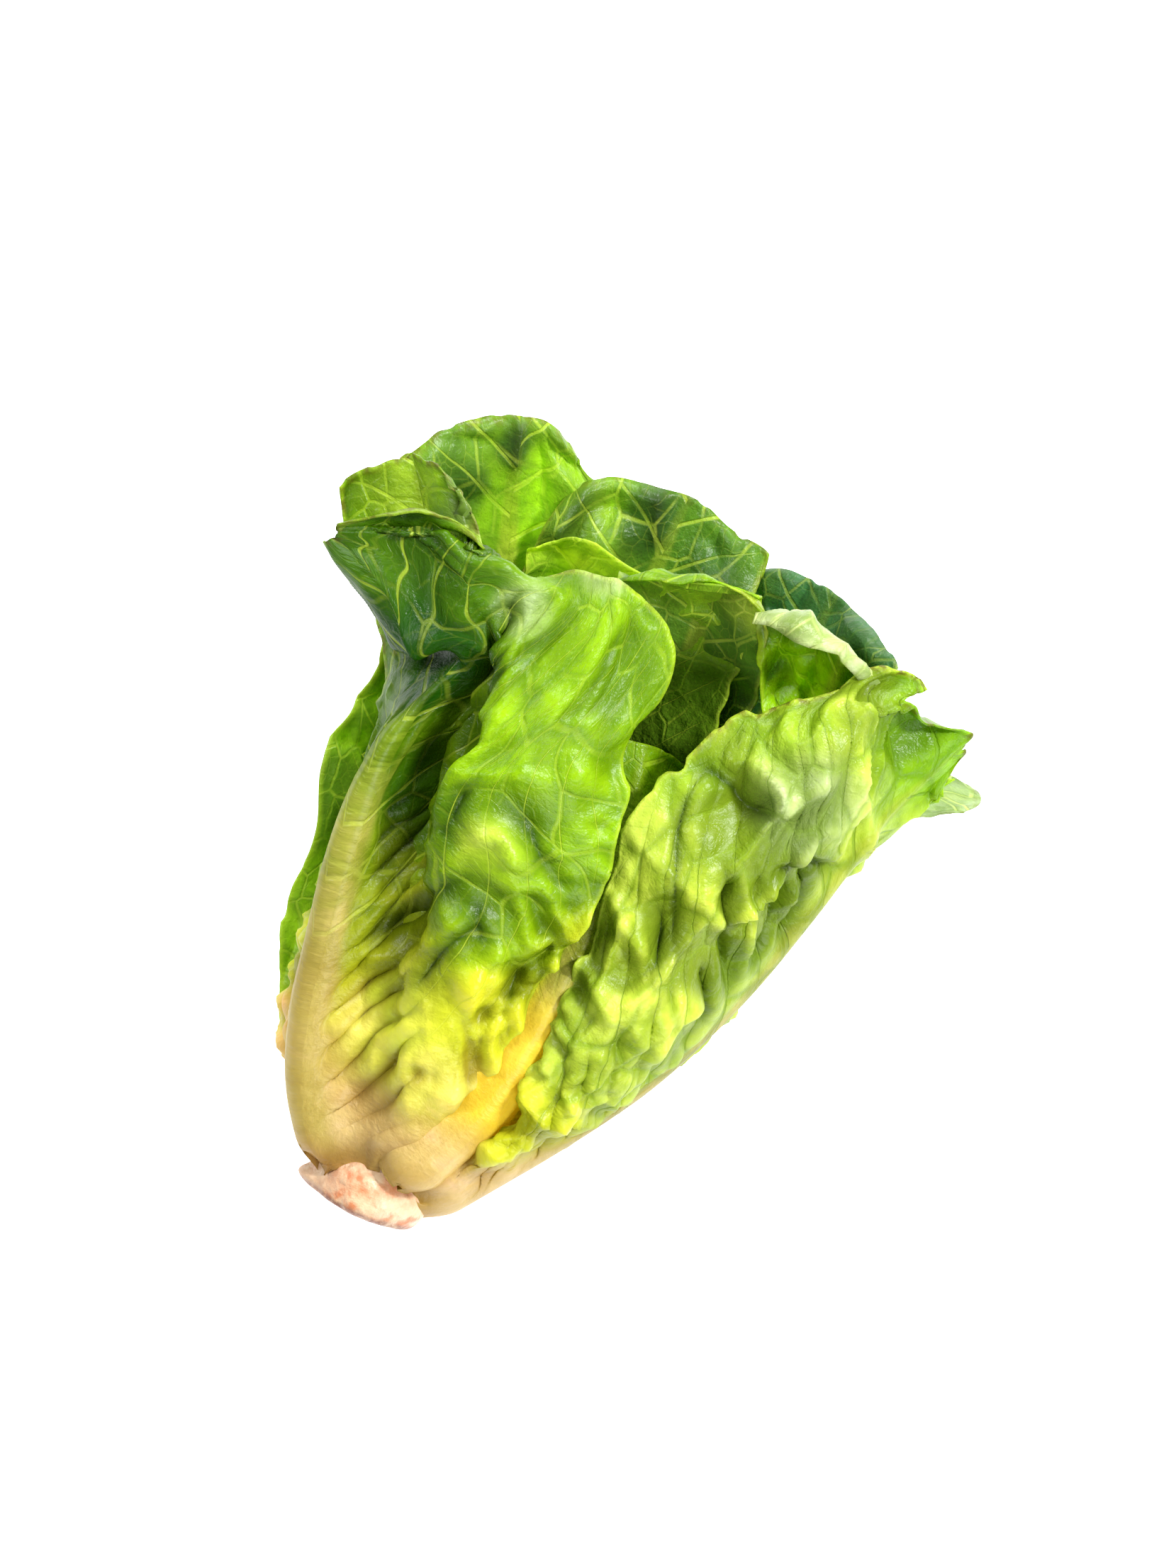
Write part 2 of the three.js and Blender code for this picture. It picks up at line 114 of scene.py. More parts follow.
def walked_along(places: np.ndarray, axis: int) -> np.ndarray:
    """Returns how far each place lies along its row or column.

    Args:
        places: Places, with x, y and z on the last axis.
        axis: Which way to walk.

    Returns:
        The distances, from 0 at the first place.
    """
    step = np.cumsum(np.linalg.norm(np.diff(places, axis=axis), axis=-1), axis=axis)
    return np.concatenate([np.zeros_like(step.take([0], axis)), step], axis=axis)


def even_places(points: Line, count: int) -> np.ndarray:
    """Returns count places spaced evenly along a spline through the points."""
    dense = catmull_rom(np.array(points, float), np.linspace(0, 1, SPLINE_STEPS))
    walked = walked_along(dense, 0)
    wanted = np.linspace(0, walked[-1], count)
    return np.stack([np.interp(wanted, walked, dense[:, k]) for k in range(3)], axis=1)


def read_list(values: tuple[float, ...], t: np.ndarray) -> np.ndarray:
    """Reads a smooth value from evenly spaced ones, from 0 at the start of the list to 1 at its end."""
    count = len(values)
    spot = np.clip(t, 0, 1) * (count - 1)
    index = np.minimum(spot.astype(int), count - 2)
    w = spot - index
    listed = np.array(values, float)
    a, b = listed[index], listed[index + 1]
    before = np.where(index > 0, listed[np.maximum(index - 1, 0)], 2 * a - b)
    after = np.where(index + 2 < count, listed[np.minimum(index + 2, count - 1)], 2 * b - a)
    slope_a, slope_b = (b - before) / 2, (after - a) / 2
    return (
        a * (2 * w**3 - 3 * w**2 + 1)
        + slope_a * (w**3 - 2 * w**2 + w)
        + b * (3 * w**2 - 2 * w**3)
        + slope_b * (w**3 - w**2)
    )


def smooth_step(low: float, high: float, value: np.ndarray) -> np.ndarray:
    """Rises smoothly from 0 at low to 1 at high."""
    t = np.clip((value - low) / (high - low), 0, 1)
    return t * t * (3 - 2 * t)


# Squares along each side of the lattice of noise, and a shift that keeps places on it above 0.
LATTICE = 64
LATTICE_SHIFT = 1000


@dataclass(frozen=True)
class Ripple:
    """Smooth, seeded unevenness over a leaf.

    Attributes:
        seed: Picks the pattern.
        size: Distance between neighbouring bumps, in millimetres.
    """

    seed: int
    size: float

    def at(self, x: np.ndarray, y: np.ndarray) -> np.ndarray:
        """Returns the height, from about -1 to 1, at places given in millimetres."""
        lattice = np.random.default_rng(self.seed).uniform(-1, 1, (LATTICE, LATTICE))
        px, py = x / self.size + LATTICE_SHIFT, y / self.size + LATTICE_SHIFT
        ix, iy = np.floor(px).astype(int), np.floor(py).astype(int)
        fx, fy = px - ix, py - iy
        sx, sy = (f * f * f * (f * (f * 6 - 15) + 10) for f in (fx, fy))

        def corner(dx: int, dy: int) -> np.ndarray:
            """Reads one corner of each place's square of the lattice."""
            return lattice[(ix + dx) % LATTICE, (iy + dy) % LATTICE]

        low = corner(0, 0) * (1 - sx) + corner(1, 0) * sx
        high = corner(0, 1) * (1 - sx) + corner(1, 1) * sx
        return low * (1 - sy) + high * sy


# ---------------------------------------------------------------- what a leaf is made from


@dataclass(frozen=True)
class RolledHalf:
    """Half a blade, rolled out from its rib.

    Attributes:
        widths: Width from rib to margin, from base to tip, in millimetres.
        turns: How far the margin has turned inwards, in degrees, from base to tip.
    """

    widths: tuple[float, ...]
    turns: tuple[float, ...]


@dataclass(frozen=True)
class DrawnHalf:
    """Half a blade, drawn by lines that run beside its rib from base to tip, the margin last."""

    lines: tuple[Line, ...]


def drawn(text: str) -> DrawnHalf:
    """Reads a drawn half from its lines, parted by semicolons."""
    return DrawnHalf(tuple(line(part) for part in text.split(";")))


@dataclass(frozen=True)
class Relief:
    """The unevenness of one leaf, in millimetres.

    Attributes:
        pleat: Height of the arched ridges beside the rib.
        pleat_gap: Distance between the ridges.
        pleat_span: Share of the leaf's length, from base, over which they fade out.
        pleat_reach: How far from the rib they fade out.
        blister: Height of the swellings between the veins.
        cell: Width of those swellings.
        crease: Height of the sharp folds that run with the leaf.
        crease_gap: Distance between them.
        crumple: Height of broad random folds.
        ruffle: Height of the waves along the margin.
        ruffle_gap: Length of those waves.
        frill: Height of the short waves along the lower part of the margin.
        groove: Depth of the side veins.
    """

    pleat: float = 0.5
    pleat_gap: float = 8.0
    pleat_span: float = 0.7
    pleat_reach: float = 40.0
    blister: float = 0.8
    cell: float = 9.0
    crease: float = 0.6
    crease_gap: float = 12.0
    crumple: float = 1.4
    ruffle: float = 1.5
    ruffle_gap: float = 30.0
    frill: float = 0.0
    groove: float = 0.0


@dataclass(frozen=True)
class Fold:
    """A crease with a place of its own, in millimetres.

    Attributes:
        line: Points that it passes.
        height: Of the ridge, or below 0 for a valley.
        width: How far it falls off to either side.
    """

    line: Line
    height: float
    width: float = 3.0


@dataclass(frozen=True)
class Edge:
    """How far the margin strays from its drawn line.

    Attributes:
        wave: Share of the half width that broad waves cut away.
        tear: Depth of small notches, in millimetres.
        lobe: Share of the leaf's length that waves cut away from the tip.
    """

    wave: float = 0.07
    tear: float = 0.8
    lobe: float = 0.02


class Green(Enum):
    """The colours that a leaf may have, from the stem outwards and from shade to sun; some are painted
    shade and painted light.
    """

    CREAM = (0.66, 0.48, 0.14)
    IVORY = (0.52, 0.43, 0.12)
    SAND = (0.68, 0.54, 0.24)
    BLUSH = (0.60, 0.33, 0.13)
    PRIMROSE = (0.62, 0.68, 0.070)
    YELLOW = (0.58, 0.60, 0.016)
    OLIVE = (0.22, 0.26, 0.006)
    STRAW = (0.42, 0.46, 0.040)
    LIME = (0.26, 0.45, 0.001)
    BRIGHT = (0.19, 0.35, 0.002)
    LEAF = (0.085, 0.21, 0.002)
    YOLK = (0.92, 0.72, 0.035)
    # Painted light, where light falls on a blade or shines through it.
    SUNLIT = (0.52, 0.82, 0.004)
    PALE = (0.45, 0.55, 0.050)
    SILVER = (0.47, 0.55, 0.24)
    # Painted shade, for hollows and for parts turned away from the light.
    PAINTED_SHADE = (0.018, 0.100, 0.001)
    BLUE = (0.035, 0.150, 0.045)

    def colour(self) -> np.ndarray:
        """Returns its red, green and blue."""
        return np.array(self.value)


def blend(share: np.ndarray, first: np.ndarray, second: np.ndarray) -> np.ndarray:
    """Mixes two colours, by how far the second covers the first at each place."""
    return first + np.clip(share, 0, 1)[..., None] * (second - first)


@dataclass(frozen=True)
class Patch:
    """A part of a leaf with a colour of its own; some patches are painted shade and painted light.

    Attributes:
        place: Its middle, in millimetres.
        radius: How far it reaches, in millimetres.
        green: Its colour.
        share: How far it covers the leaf's own colour.
        over_rib: Whether it covers the midrib too.
    """

    place: Point
    radius: float
    green: Green
    share: float = 1.0
    over_rib: bool = False


@dataclass(frozen=True)
class Tone:
    """The colouring of one leaf.

    Attributes:
        green: The colour of its blade.
        cream: Share of its length over which the base stays pale.
        yellow: Share of its length over which the pale base turns into green.
        lit: From veins darkened by painted shade, as if sunken, at 0 to bright ones at 1.
        browning: Browned margin towards the tip, from 0 to 1.
        patches: Parts with a colour of their own; some are painted shade and painted light.
    """

    green: Green = Green.BRIGHT
    cream: float = 0.2
    yellow: float = 0.25
    lit: float = 0.8
    browning: float = 0.2
    patches: tuple[Patch, ...] = ()


# Painted shade at the bottom of a fold's valley and painted highlight on the top of its ridge: what they
# multiply the blade's colour by.
FOLD_SHADE = np.array([0.14, 0.26, 0.06])
FOLD_HIGHLIGHT = np.array([1.30, 1.22, 1.60])


class Drift(Enum):
    """Unevenness of a leaf's own: distance between bumps, in millimetres, and what sets its seed apart."""

    PLEAT_SWAY = (26, 1)
    PLEAT_WOBBLE = (11, 2)
    PLEAT_HEIGHT = (18, 3)
    VEIN_BEND = (30, 5)
    RUFFLE_SHIFT = (40, 7)
    RUFFLE_HEIGHT = (33, 8)
    FRILL = (9, 9)
    FRILL_FINE = (5, 10)
    CRUMPLE = (26, 11)
    CRUMPLE_SHARP = (19, 12)
    TINT = (16, 21)
    TINT_FINE = (7, 22)
    PATCH_EDGE = (13, 23)
    CREASE_BEND = (30, 41)
    CREASE_HEIGHT = (26, 43)
    BLISTER_HEIGHT = (28, 51)


# What sets the seeds of the creases and of the margin's waves and notches apart from the leaf's own.
CREASE_SEED = 42
SIDE_WAVE_SEED = 31
SIDE_NOTCH_SEED = 57
TIP_WAVE_SEED = 77
TIP_NOTCH_SEED = 78


class Skin(Enum):
    """The two sides of a blade, by their place in a leaf's list of materials."""

    FACE = 0
    BACK = 1


@dataclass(frozen=True)
class Grid:
    """How finely a leaf is laid out."""

    rows: int
    columns: int


HERO_GRID = Grid(rows=250, columns=180)
PLAIN_GRID = Grid(rows=150, columns=110)
HIDDEN_GRID = Grid(rows=90, columns=60)


# Places along a rib, and across half a blade, at which a rolled half is worked out.
RIB_STEPS = 61
TURN_STEPS = 48

# Shares of the margin's turn at the rib, halfway out and at the margin.
TURN_SHARES = (0.1, 0.5, 1.0)

# How nearly the corners of a rolled tip follow a circle.
CORNER_ROUNDNESS = 0.97


@dataclass
class Leaf:
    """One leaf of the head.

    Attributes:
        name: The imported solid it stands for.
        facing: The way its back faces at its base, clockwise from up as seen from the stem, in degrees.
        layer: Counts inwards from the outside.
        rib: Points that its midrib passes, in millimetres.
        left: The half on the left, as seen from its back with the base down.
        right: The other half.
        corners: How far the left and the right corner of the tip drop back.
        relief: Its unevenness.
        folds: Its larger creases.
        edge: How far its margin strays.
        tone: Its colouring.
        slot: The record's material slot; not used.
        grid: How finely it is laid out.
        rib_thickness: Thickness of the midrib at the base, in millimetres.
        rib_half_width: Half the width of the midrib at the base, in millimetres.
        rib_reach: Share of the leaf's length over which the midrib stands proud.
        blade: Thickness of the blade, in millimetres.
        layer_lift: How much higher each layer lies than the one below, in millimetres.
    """

    name: str
    facing: float
    layer: int
    rib: Line
    left: RolledHalf | DrawnHalf
    right: RolledHalf | DrawnHalf
    corners: tuple[float, float] = (0.12, 0.12)
    relief: Relief = Relief()
    folds: tuple[Fold, ...] = ()
    edge: Edge = Edge()
    tone: Tone = Tone()
    slot: str = "outer_leaf"
    grid: Grid = PLAIN_GRID
    rib_thickness: float = 6.0
    rib_half_width: float = 10.0
    rib_reach: float = 1.0
    blade: float = 0.6
    layer_lift: float = 2.6

    def seed(self) -> int:
        """Returns a number of the leaf's own, from its name."""
        return sum((i + 1) * ord(c) for i, c in enumerate(self.name))

    def frames(self, v: np.ndarray) -> tuple[np.ndarray, np.ndarray, np.ndarray]:
        """Works out the midrib's place, the way out from it and the way across it.

        Args:
            v: Places along the rib, from 0 to 1, of any shape.

        Returns:
            The three, each shaped (*v.shape, 3).
        """
        places = even_places(self.rib, RIB_STEPS)
        ways = np.gradient(places, axis=0)
        ways /= np.linalg.norm(ways, axis=1, keepdims=True)
        angle = math.radians(self.facing)
        out = np.array([math.sin(angle), 0, math.cos(angle)])
        outs = np.zeros_like(places)
        for i, way in enumerate(ways):
            out = out - way * out.dot(way)
            out = out / np.linalg.norm(out)
            outs[i] = out
        sides = np.cross(ways, outs)
        spot = np.clip(v, 0, 1) * (RIB_STEPS - 1)
        station = np.arange(RIB_STEPS)
        return tuple(
            np.stack([np.interp(spot, station, table[:, k]) for k in range(3)], axis=-1)
            for table in (places, outs, sides)
        )

    def rolled_half(self, half: RolledHalf, sign: int, v: np.ndarray, share: np.ndarray) -> np.ndarray:
        """Rolls half a blade out from the rib.

        Args:
            half: Its widths and turns.
            sign: -1 on the left and 1 on the right.
            v: Rows, from base to tip.
            share: Columns, from rib to margin.

        Returns:
            Places shaped (rows, columns, 3).
        """
        q = (np.arange(TURN_STEPS) + 0.5) / TURN_STEPS
        width = read_list(half.widths, v)[:, None] / TURN_STEPS
        margin = read_list(half.turns, v)
        stations = np.stack([margin * share_turned for share_turned in TURN_SHARES], axis=1)
        turn = np.radians(np.stack([read_list(tuple(row), q) for row in stations]))
        zero = np.zeros((len(v), 1))
        across = np.concatenate([zero, np.cumsum(np.cos(turn) * width, axis=1)], axis=1)
        out = np.concatenate([zero, np.cumsum(-np.sin(turn) * width, axis=1)], axis=1)
        spot = share * TURN_STEPS
        index = np.minimum(spot.astype(int), TURN_STEPS - 1)
        f = spot - index
        across, out = (table[:, index] * (1 - f) + table[:, index + 1] * f for table in (across, out))
        corner = self.corners[0] if sign < 0 else self.corners[1]
        drop = corner * (1 - np.sqrt(1 - CORNER_ROUNDNESS * share**2))[None, :] * (v**4)[:, None]
        place, outs, sides = self.frames(v[:, None] - drop)
        return place + sides * (sign * across)[..., None] + outs * out[..., None]

    def drawn_half(self, half: DrawnHalf, rows: int, share: np.ndarray) -> np.ndarray:
        """Draws half a blade across its lines, spaced evenly from rib to margin.

        Args:
            half: Its lines.
            rows: How many rows.
            share: Columns, from rib to margin.

        Returns:
            Places shaped (rows, columns, 3).
        """
        lines = np.stack([even_places(points, rows) for points in (self.rib, *half.lines)], axis=1)
        dense = catmull_rom(lines, np.linspace(0, 1, ACROSS_STEPS))
        walked = walked_along(dense, 1)
        result = np.zeros((rows, len(share), 3))
        for j in range(rows):
            wanted = share * max(walked[j, -1], TINY)
            for k in range(3):
                result[j, :, k] = np.interp(wanted, walked[j], dense[j, :, k])
        return result

    def sheet(self) -> np.ndarray:
        """Returns the smooth leaf's places, in rows from base to tip and columns from left to right."""
        v = np.linspace(0, 1, self.grid.rows + 1)
        share = np.linspace(0, 1, self.grid.columns // 2 + 1)
        halves = []
        for sign, half in ((-1, self.left), (1, self.right)):
            if isinstance(half, DrawnHalf):
                halves.append(self.drawn_half(half, len(v), share))
            else:
                halves.append(self.rolled_half(half, sign, v, share))
        return self.trim(np.concatenate([halves[0][:, :0:-1], halves[1]], axis=1))

    def trim(self, places: np.ndarray) -> np.ndarray:
        """Pulls the margin in from its drawn line, by broad waves and by small notches.

        Args:
            places: The sheet as drawn.

        Returns:
            The sheet with its uneven margin.
        """
        rows, columns = places.shape[:2]
        v, u = np.linspace(0, 1, rows), np.linspace(-1, 1, columns)
        along = np.linalg.norm(np.diff(places[:, columns // 2], axis=0), axis=1).sum() * v
        started = smooth_step(0.1, 0.3, v)
        for sign in (-1, 1):
            width = np.linalg.norm(np.diff(places, axis=1), axis=2).sum(axis=1) / 2 + TINY
            broad = 0.5 + 0.5 * Ripple(self.seed() + SIDE_WAVE_SEED * sign, 24.0).at(along, along * 0)
            notch = np.clip(Ripple(self.seed() + SIDE_NOTCH_SEED * sign, 5.0).at(along, along * 0), 0, 1)
            cut = (self.edge.wave * broad + self.edge.tear * notch / np.maximum(width, 8.0)) * started
            half = u * sign > 0
            stretch = u[half][None, :] * (1 - cut[:, None] * np.abs(u[half])[None, :] ** 3)
            source = places.copy()
            for j in range(rows):
                for k in range(3):
                    places[j, half, k] = np.interp(stretch[j], u, source[j, :, k])
        wide = np.linalg.norm(np.diff(places[-rows // 6], axis=0), axis=1).sum() * (u + 1) / 2
        broad = 0.5 + 0.5 * Ripple(self.seed() + TIP_WAVE_SEED, 17.0).at(wide, wide * 0)
        notch = np.clip(Ripple(self.seed() + TIP_NOTCH_SEED, 4.5).at(wide, wide * 0), 0, 1)
        cut = self.edge.lobe * broad + self.edge.tear * notch / max(along[-1], 1.0)
        source = places.copy()
        for i in range(columns):
            for k in range(3):
                places[:, i, k] = np.interp(v * (1 - cut[i] * v**8), v, source[:, i, k])
        return places

    def build(self, offset: np.ndarray) -> bpy.types.Object:
        """Makes the leaf.

        Args:
            offset: Moves the drawn head over the row's origin, in millimetres.

        Returns:
            The new object, without its materials.
        """
        return LeafMaker(self, offset).build()


def surface_normals(places: np.ndarray) -> np.ndarray:
    """Returns the outward way at each place of a sheet."""
    down = np.gradient(places, axis=0)
    across = np.gradient(places, axis=1)
    normal = np.cross(across, down)
    length = np.linalg.norm(normal, axis=2, keepdims=True)
    normal = normal / np.maximum(length, 1e-9)
    # Rows that meet in a point have no way of their own, and take their neighbour's.
    weak = length[..., 0] < TINY
    for j in range(1, len(normal)):
        normal[j][weak[j]] = normal[j - 1][weak[j]]
    return normal


# Distance between side veins, in millimetres.
VEIN_GAP = 17.0

# How many places in the net of small veins leaves may start from.
NET_PLACES = 97

# Steps of weight between the thinnest and the thickest place of a leaf.
WEIGHT_STEPS = 255

# Places along a fold at which it is worked out, and how sharply it falls off.
FOLD_STEPS = 48
FOLD_SHARPNESS = 1.1


def new_object(name: str, shaper: bmesh.types.BMesh) -> bpy.types.Object:
    """Makes an object in the scene.

    Args:
        name: Of the object and of its mesh.
        shaper: What it is made of; it is freed.

    Returns:
        The object, shaded smoothly.
    """
    mesh = bpy.data.meshes.new(name)
    shaper.to_mesh(mesh)
    shaper.free()
    mesh.shade_smooth()
    made = bpy.data.objects.new(name, mesh)
    bpy.context.scene.collection.objects.link(made)
    return made


class LeafMaker:
    """Turns a leaf's description into a mesh with the values that its materials read."""

    def __init__(self, leaf: Leaf, offset: np.ndarray) -> None:
        """Lays the leaf out.

        Args:
            leaf: What to make.
            offset: Moves the drawn head over the row's origin, in millimetres.
        """
        self.leaf = leaf
        self.offset = offset
        self.places = leaf.sheet()
        self.rows, self.columns = self.places.shape[:2]
        self.v = np.linspace(0, 1, self.rows)[:, None] * np.ones((1, self.columns))
        self.u = np.linspace(-1, 1, self.columns)[None, :] * np.ones((self.rows, 1))
        middle = self.columns // 2
        across = walked_along(self.places, 1)
        self.x = across - across[:, middle : middle + 1]
        climbed = walked_along(self.places, 0)
        self.y = climbed * 0.5 + climbed[:, middle : middle + 1] * 0.5
        self.reach = np.abs(self.x)
        self.half_width = np.where(self.u < 0, -self.x[:, :1], self.x[:, -1:])
        self.to_margin = np.maximum(self.half_width - self.reach, 0)
        pointed = self.half_width[-1].max() < 0.3 * self.half_width.max()
        # Masks that are 0 at the margin, at the rib, at the tip and at the base, and 1 further in.
        self.inside = smooth_step(0.0, 9.0, self.to_margin)
        self.away = smooth_step(2, 14, self.reach)
        self.tip = smooth_step(1.0, 0.9 if pointed else 0.985, self.v)
        self.root = smooth_step(0.02, 0.15, self.v)
        self.height = self.relief()

    def wander(self, drift: Drift) -> np.ndarray:
        """Returns seeded unevenness over this leaf."""
        size, number = drift.value
        return Ripple(self.leaf.seed() + number, size).at(self.x, self.y)

    def rib_share(self) -> np.ndarray:
        """Returns 1 on the midrib, falling to 0 beside it."""
        leaf = self.leaf
        # A rib that ends early fans out into strands first.
        fan = 0 * self.v
        if leaf.rib_reach < 1:
            fan = smooth_step(leaf.rib_reach - 0.2, leaf.rib_reach - 0.04, self.v)
        width = leaf.rib_half_width * (1 - self.v) ** 0.8 + 1.2 + 3 * fan
        strands = 0.5 + 0.5 * np.cos(2 * math.pi * self.x / (3.2 + 2.4 * fan))
        return np.exp(-((self.x / width) ** 2)) * (1 - 0.85 * fan * (1 - strands))

    def thickness(self) -> np.ndarray:
        """Returns how thick the leaf is at each place, in millimetres."""
        rib = self.leaf.rib_thickness * (1 - self.v) ** 0.9 + 0.9
        base = np.exp(-((self.v / 0.08) ** 2)) * 0.8
        proud = smooth_step(self.leaf.rib_reach, self.leaf.rib_reach - 0.07, self.v)
        return self.leaf.blade + base + (rib - self.leaf.blade) * self.rib_share() * proud

    def vein_phase(self) -> np.ndarray:
        """Returns a value that passes a whole number at each side vein."""
        lean = 0.75 * self.reach + 0.006 * self.reach**2
        shift = np.where(self.u < 0, 0.0, 0.5)
        bend = self.wander(Drift.VEIN_BEND) * np.minimum(self.reach, 20) * 0.25
        return (self.y - lean + bend) / VEIN_GAP + shift

    def fold_share(self, fold: Fold) -> np.ndarray:
        """Works out where a crease shows.

        Args:
            fold: The crease.

        Returns:
            1 on its line, falling to 0 beside it and towards its ends.
        """
        flat = []
        for point in fold.line:
            gap = np.linalg.norm(self.places - np.array(point), axis=2)
            spot = np.unravel_index(gap.argmin(), gap.shape)
            flat.append((self.x[spot], self.y[spot], 0.0))
        share = np.zeros_like(self.x)
        for k, (x, y, _) in enumerate(even_places(tuple(flat), FOLD_STEPS)):
            taper = min(1.0, 0.25 + 4 * k / FOLD_STEPS, 0.25 + 4 * (FOLD_STEPS - 1 - k) / FOLD_STEPS)
            away = np.hypot(self.x - x, self.y - y) / fold.width
            share = np.maximum(share, taper * np.exp(-(away**FOLD_SHARPNESS)))
        return share

    def pleats(self) -> np.ndarray:
        """Returns the height of the arched ridges beside the rib."""
        relief = self.leaf.relief
        lean = 11 * (np.minimum(self.reach, 60) / 20) ** 1.5
        sway = self.y - lean + 5.0 * self.wander(Drift.PLEAT_SWAY) + 2.0 * self.wander(Drift.PLEAT_WOBBLE)
        ridge = np.abs(np.sin(math.pi * (sway / relief.pleat_gap))) ** 0.8 - 0.6
        span = smooth_step(relief.pleat_span + 0.15, relief.pleat_span - 0.15, self.v) * self.root
        far = smooth_step(relief.pleat_reach + 12, relief.pleat_reach, self.reach)
        near = smooth_step(5, 12, self.reach) * far
        uneven = 1 + 0.7 * self.wander(Drift.PLEAT_HEIGHT)
        return relief.pleat * ridge * near * self.inside * span * uneven

    def creases(self) -> np.ndarray:
        """Returns the height of the sharp folds that run with the leaf."""
        relief = self.leaf.relief
        bent = self.x + 5 * self.wander(Drift.CREASE_BEND)
        fold = Ripple(self.leaf.seed() + CREASE_SEED, relief.crease_gap).at(bent, self.y * 0.38)
        fold = (0.7 - 2 * np.abs(fold) ** 0.6) * (0.55 + 0.6 * self.wander(Drift.CREASE_HEIGHT))
        return relief.crease * fold * self.away * self.root * self.tip

    def ruffles(self) -> np.ndarray:
        """Returns the height of the waves that grow towards the margin."""
        relief = self.leaf.relief
        phase = self.y / relief.ruffle_gap + 0.6 * self.wander(Drift.RUFFLE_SHIFT)
        wave = np.sin(2 * math.pi * phase) + 0.5 * np.sin(2 * math.pi * phase * 2.3 + 1)
        grow = np.abs(self.u) ** 2.5 * smooth_step(0.05, 0.25, self.v)
        return relief.ruffle * wave * (0.6 + 0.6 * self.wander(Drift.RUFFLE_HEIGHT)) * grow * self.tip

    def frills(self) -> np.ndarray:
        """Returns the height of the short waves along the lower part of the margin."""
        short = 1 - 2 * np.abs(self.wander(Drift.FRILL)) + 0.7 * self.wander(Drift.FRILL_FINE)
        low = smooth_step(0.06, 0.14, self.v) * smooth_step(0.5, 0.3, self.v) * np.abs(self.u) ** 2
        return self.leaf.relief.frill * short * low

    def crumples(self) -> np.ndarray:
        """Returns the height of the broad random folds."""
        sharp = np.abs(self.wander(Drift.CRUMPLE_SHARP)) ** 0.75
        folds = 0.8 * self.wander(Drift.CRUMPLE) + 0.9 - 2.2 * sharp - 0.35
        return self.leaf.relief.crumple * folds * self.away * self.tip * self.root

    def side_veins(self) -> np.ndarray:
        """Returns the depth of the side veins."""
        apart = np.abs((self.vein_phase() + 0.5) % 1 - 0.5) * VEIN_GAP
        sunk = np.exp(-((apart / 1.5) ** 2)) * smooth_step(4, 12, self.reach) * self.inside * self.root
        return self.leaf.relief.groove * sunk

    def relief(self) -> np.ndarray:
        """Returns how far each place stands out from the smooth leaf, in millimetres."""
        tuck = 4.0 * smooth_step(0.06, 0.0, self.v)
        height = self.pleats() + self.creases() + self.ruffles() + self.frills() + self.crumples() - tuck
        for fold in self.leaf.folds:
            height = height + fold.height * self.fold_share(fold)
        return height - self.side_veins()

    def build(self) -> bpy.types.Object:
        """Returns the finished leaf object."""
        normal = surface_normals(self.places)
        places = self.places + normal * self.height[..., None]
        floor = self.leaf.layer * self.leaf.layer_lift
        lowest = places[..., 2] - np.maximum(-normal[..., 2], 0) * (self.thickness() - self.leaf.blade)
        places[..., 2] += np.maximum(floor + 1.0 - lowest, 0)
        places = (places + self.offset) * MM
        shaper = bmesh.new()
        bmesh.ops.create_grid(shaper, x_segments=self.columns - 1, y_segments=self.rows - 1, size=1.0)
        shaper.verts.ensure_lookup_table()
        for vert, place in zip(shaper.verts, places.reshape(-1, 3)):
            vert.co = place
        piece = new_object(self.leaf.name + "_blade", shaper)
        self.write_values(piece.data)
        self.thicken(piece)
        return piece

    def write_values(self, mesh: bpy.types.Mesh) -> None:
        """Writes the values that the relief and the materials read.

        Args:
            mesh: The leaf's mesh.
        """
        tone = self.leaf.tone
        blade = np.stack([self.x, self.y, np.full_like(self.x, self.leaf.seed() % NET_PLACES)], axis=-1)
        late = smooth_step(0.5, 0.8, self.v) * smooth_step(2.6, 0.3, self.to_margin)
        late = np.maximum(late, smooth_step(0.985, 0.998, self.v))
        usual = np.abs(self.height[self.rows // 6 :]).mean() * 2.5 + 0.2
        swell = self.leaf.relief.blister * smooth_step(3, 12, self.reach)
        swell = swell * smooth_step(0.0, 5.0, self.to_margin)
        swell = swell * smooth_step(0.02, 0.2, self.v) * smooth_step(1.0, 0.93, self.v)
        swell = swell * (0.65 + 0.6 * self.wander(Drift.BLISTER_HEIGHT))
        write_vector(mesh, "blade", blade)
        write_vector(mesh, "tint", self.tint())
        write_value(mesh, "rib", self.rib_share())
        write_value(mesh, "vein", self.vein_phase())
        write_value(mesh, "margin", self.to_margin)
        write_value(mesh, "leafy", smooth_step(tone.cream, tone.cream + 0.2, self.v + 0.002 * self.reach))
        # The relief's height, which the materials turn into painted shade in valleys and painted highlight
        # on ridges.
        write_value(mesh, "lift", np.clip(self.height / usual, -1, 1))
        write_value(mesh, "lit", np.full_like(self.x, tone.lit))
        write_value(mesh, "brown", tone.browning * late)
        write_value(mesh, "blister", swell * MM)

    def patched(self, under: np.ndarray, over_rib: bool) -> np.ndarray:
        """Lays patches over a colour: colours of the leaf's own, painted shade and painted light.

        Args:
            under: The colour at each place.
            over_rib: Whether to lay the patches that cover the midrib, or the others.

        Returns:
            The new colour at each place.
        """
        for patch in self.leaf.tone.patches:
            if patch.over_rib == over_rib:
                away = np.linalg.norm(self.places - np.array(patch.place), axis=2) / patch.radius
                away = away * (1 + 0.12 * self.wander(Drift.PATCH_EDGE))
                share = patch.share * smooth_step(1.0, 0.45, away)
                under = blend(share, under, patch.green.colour())
        return under

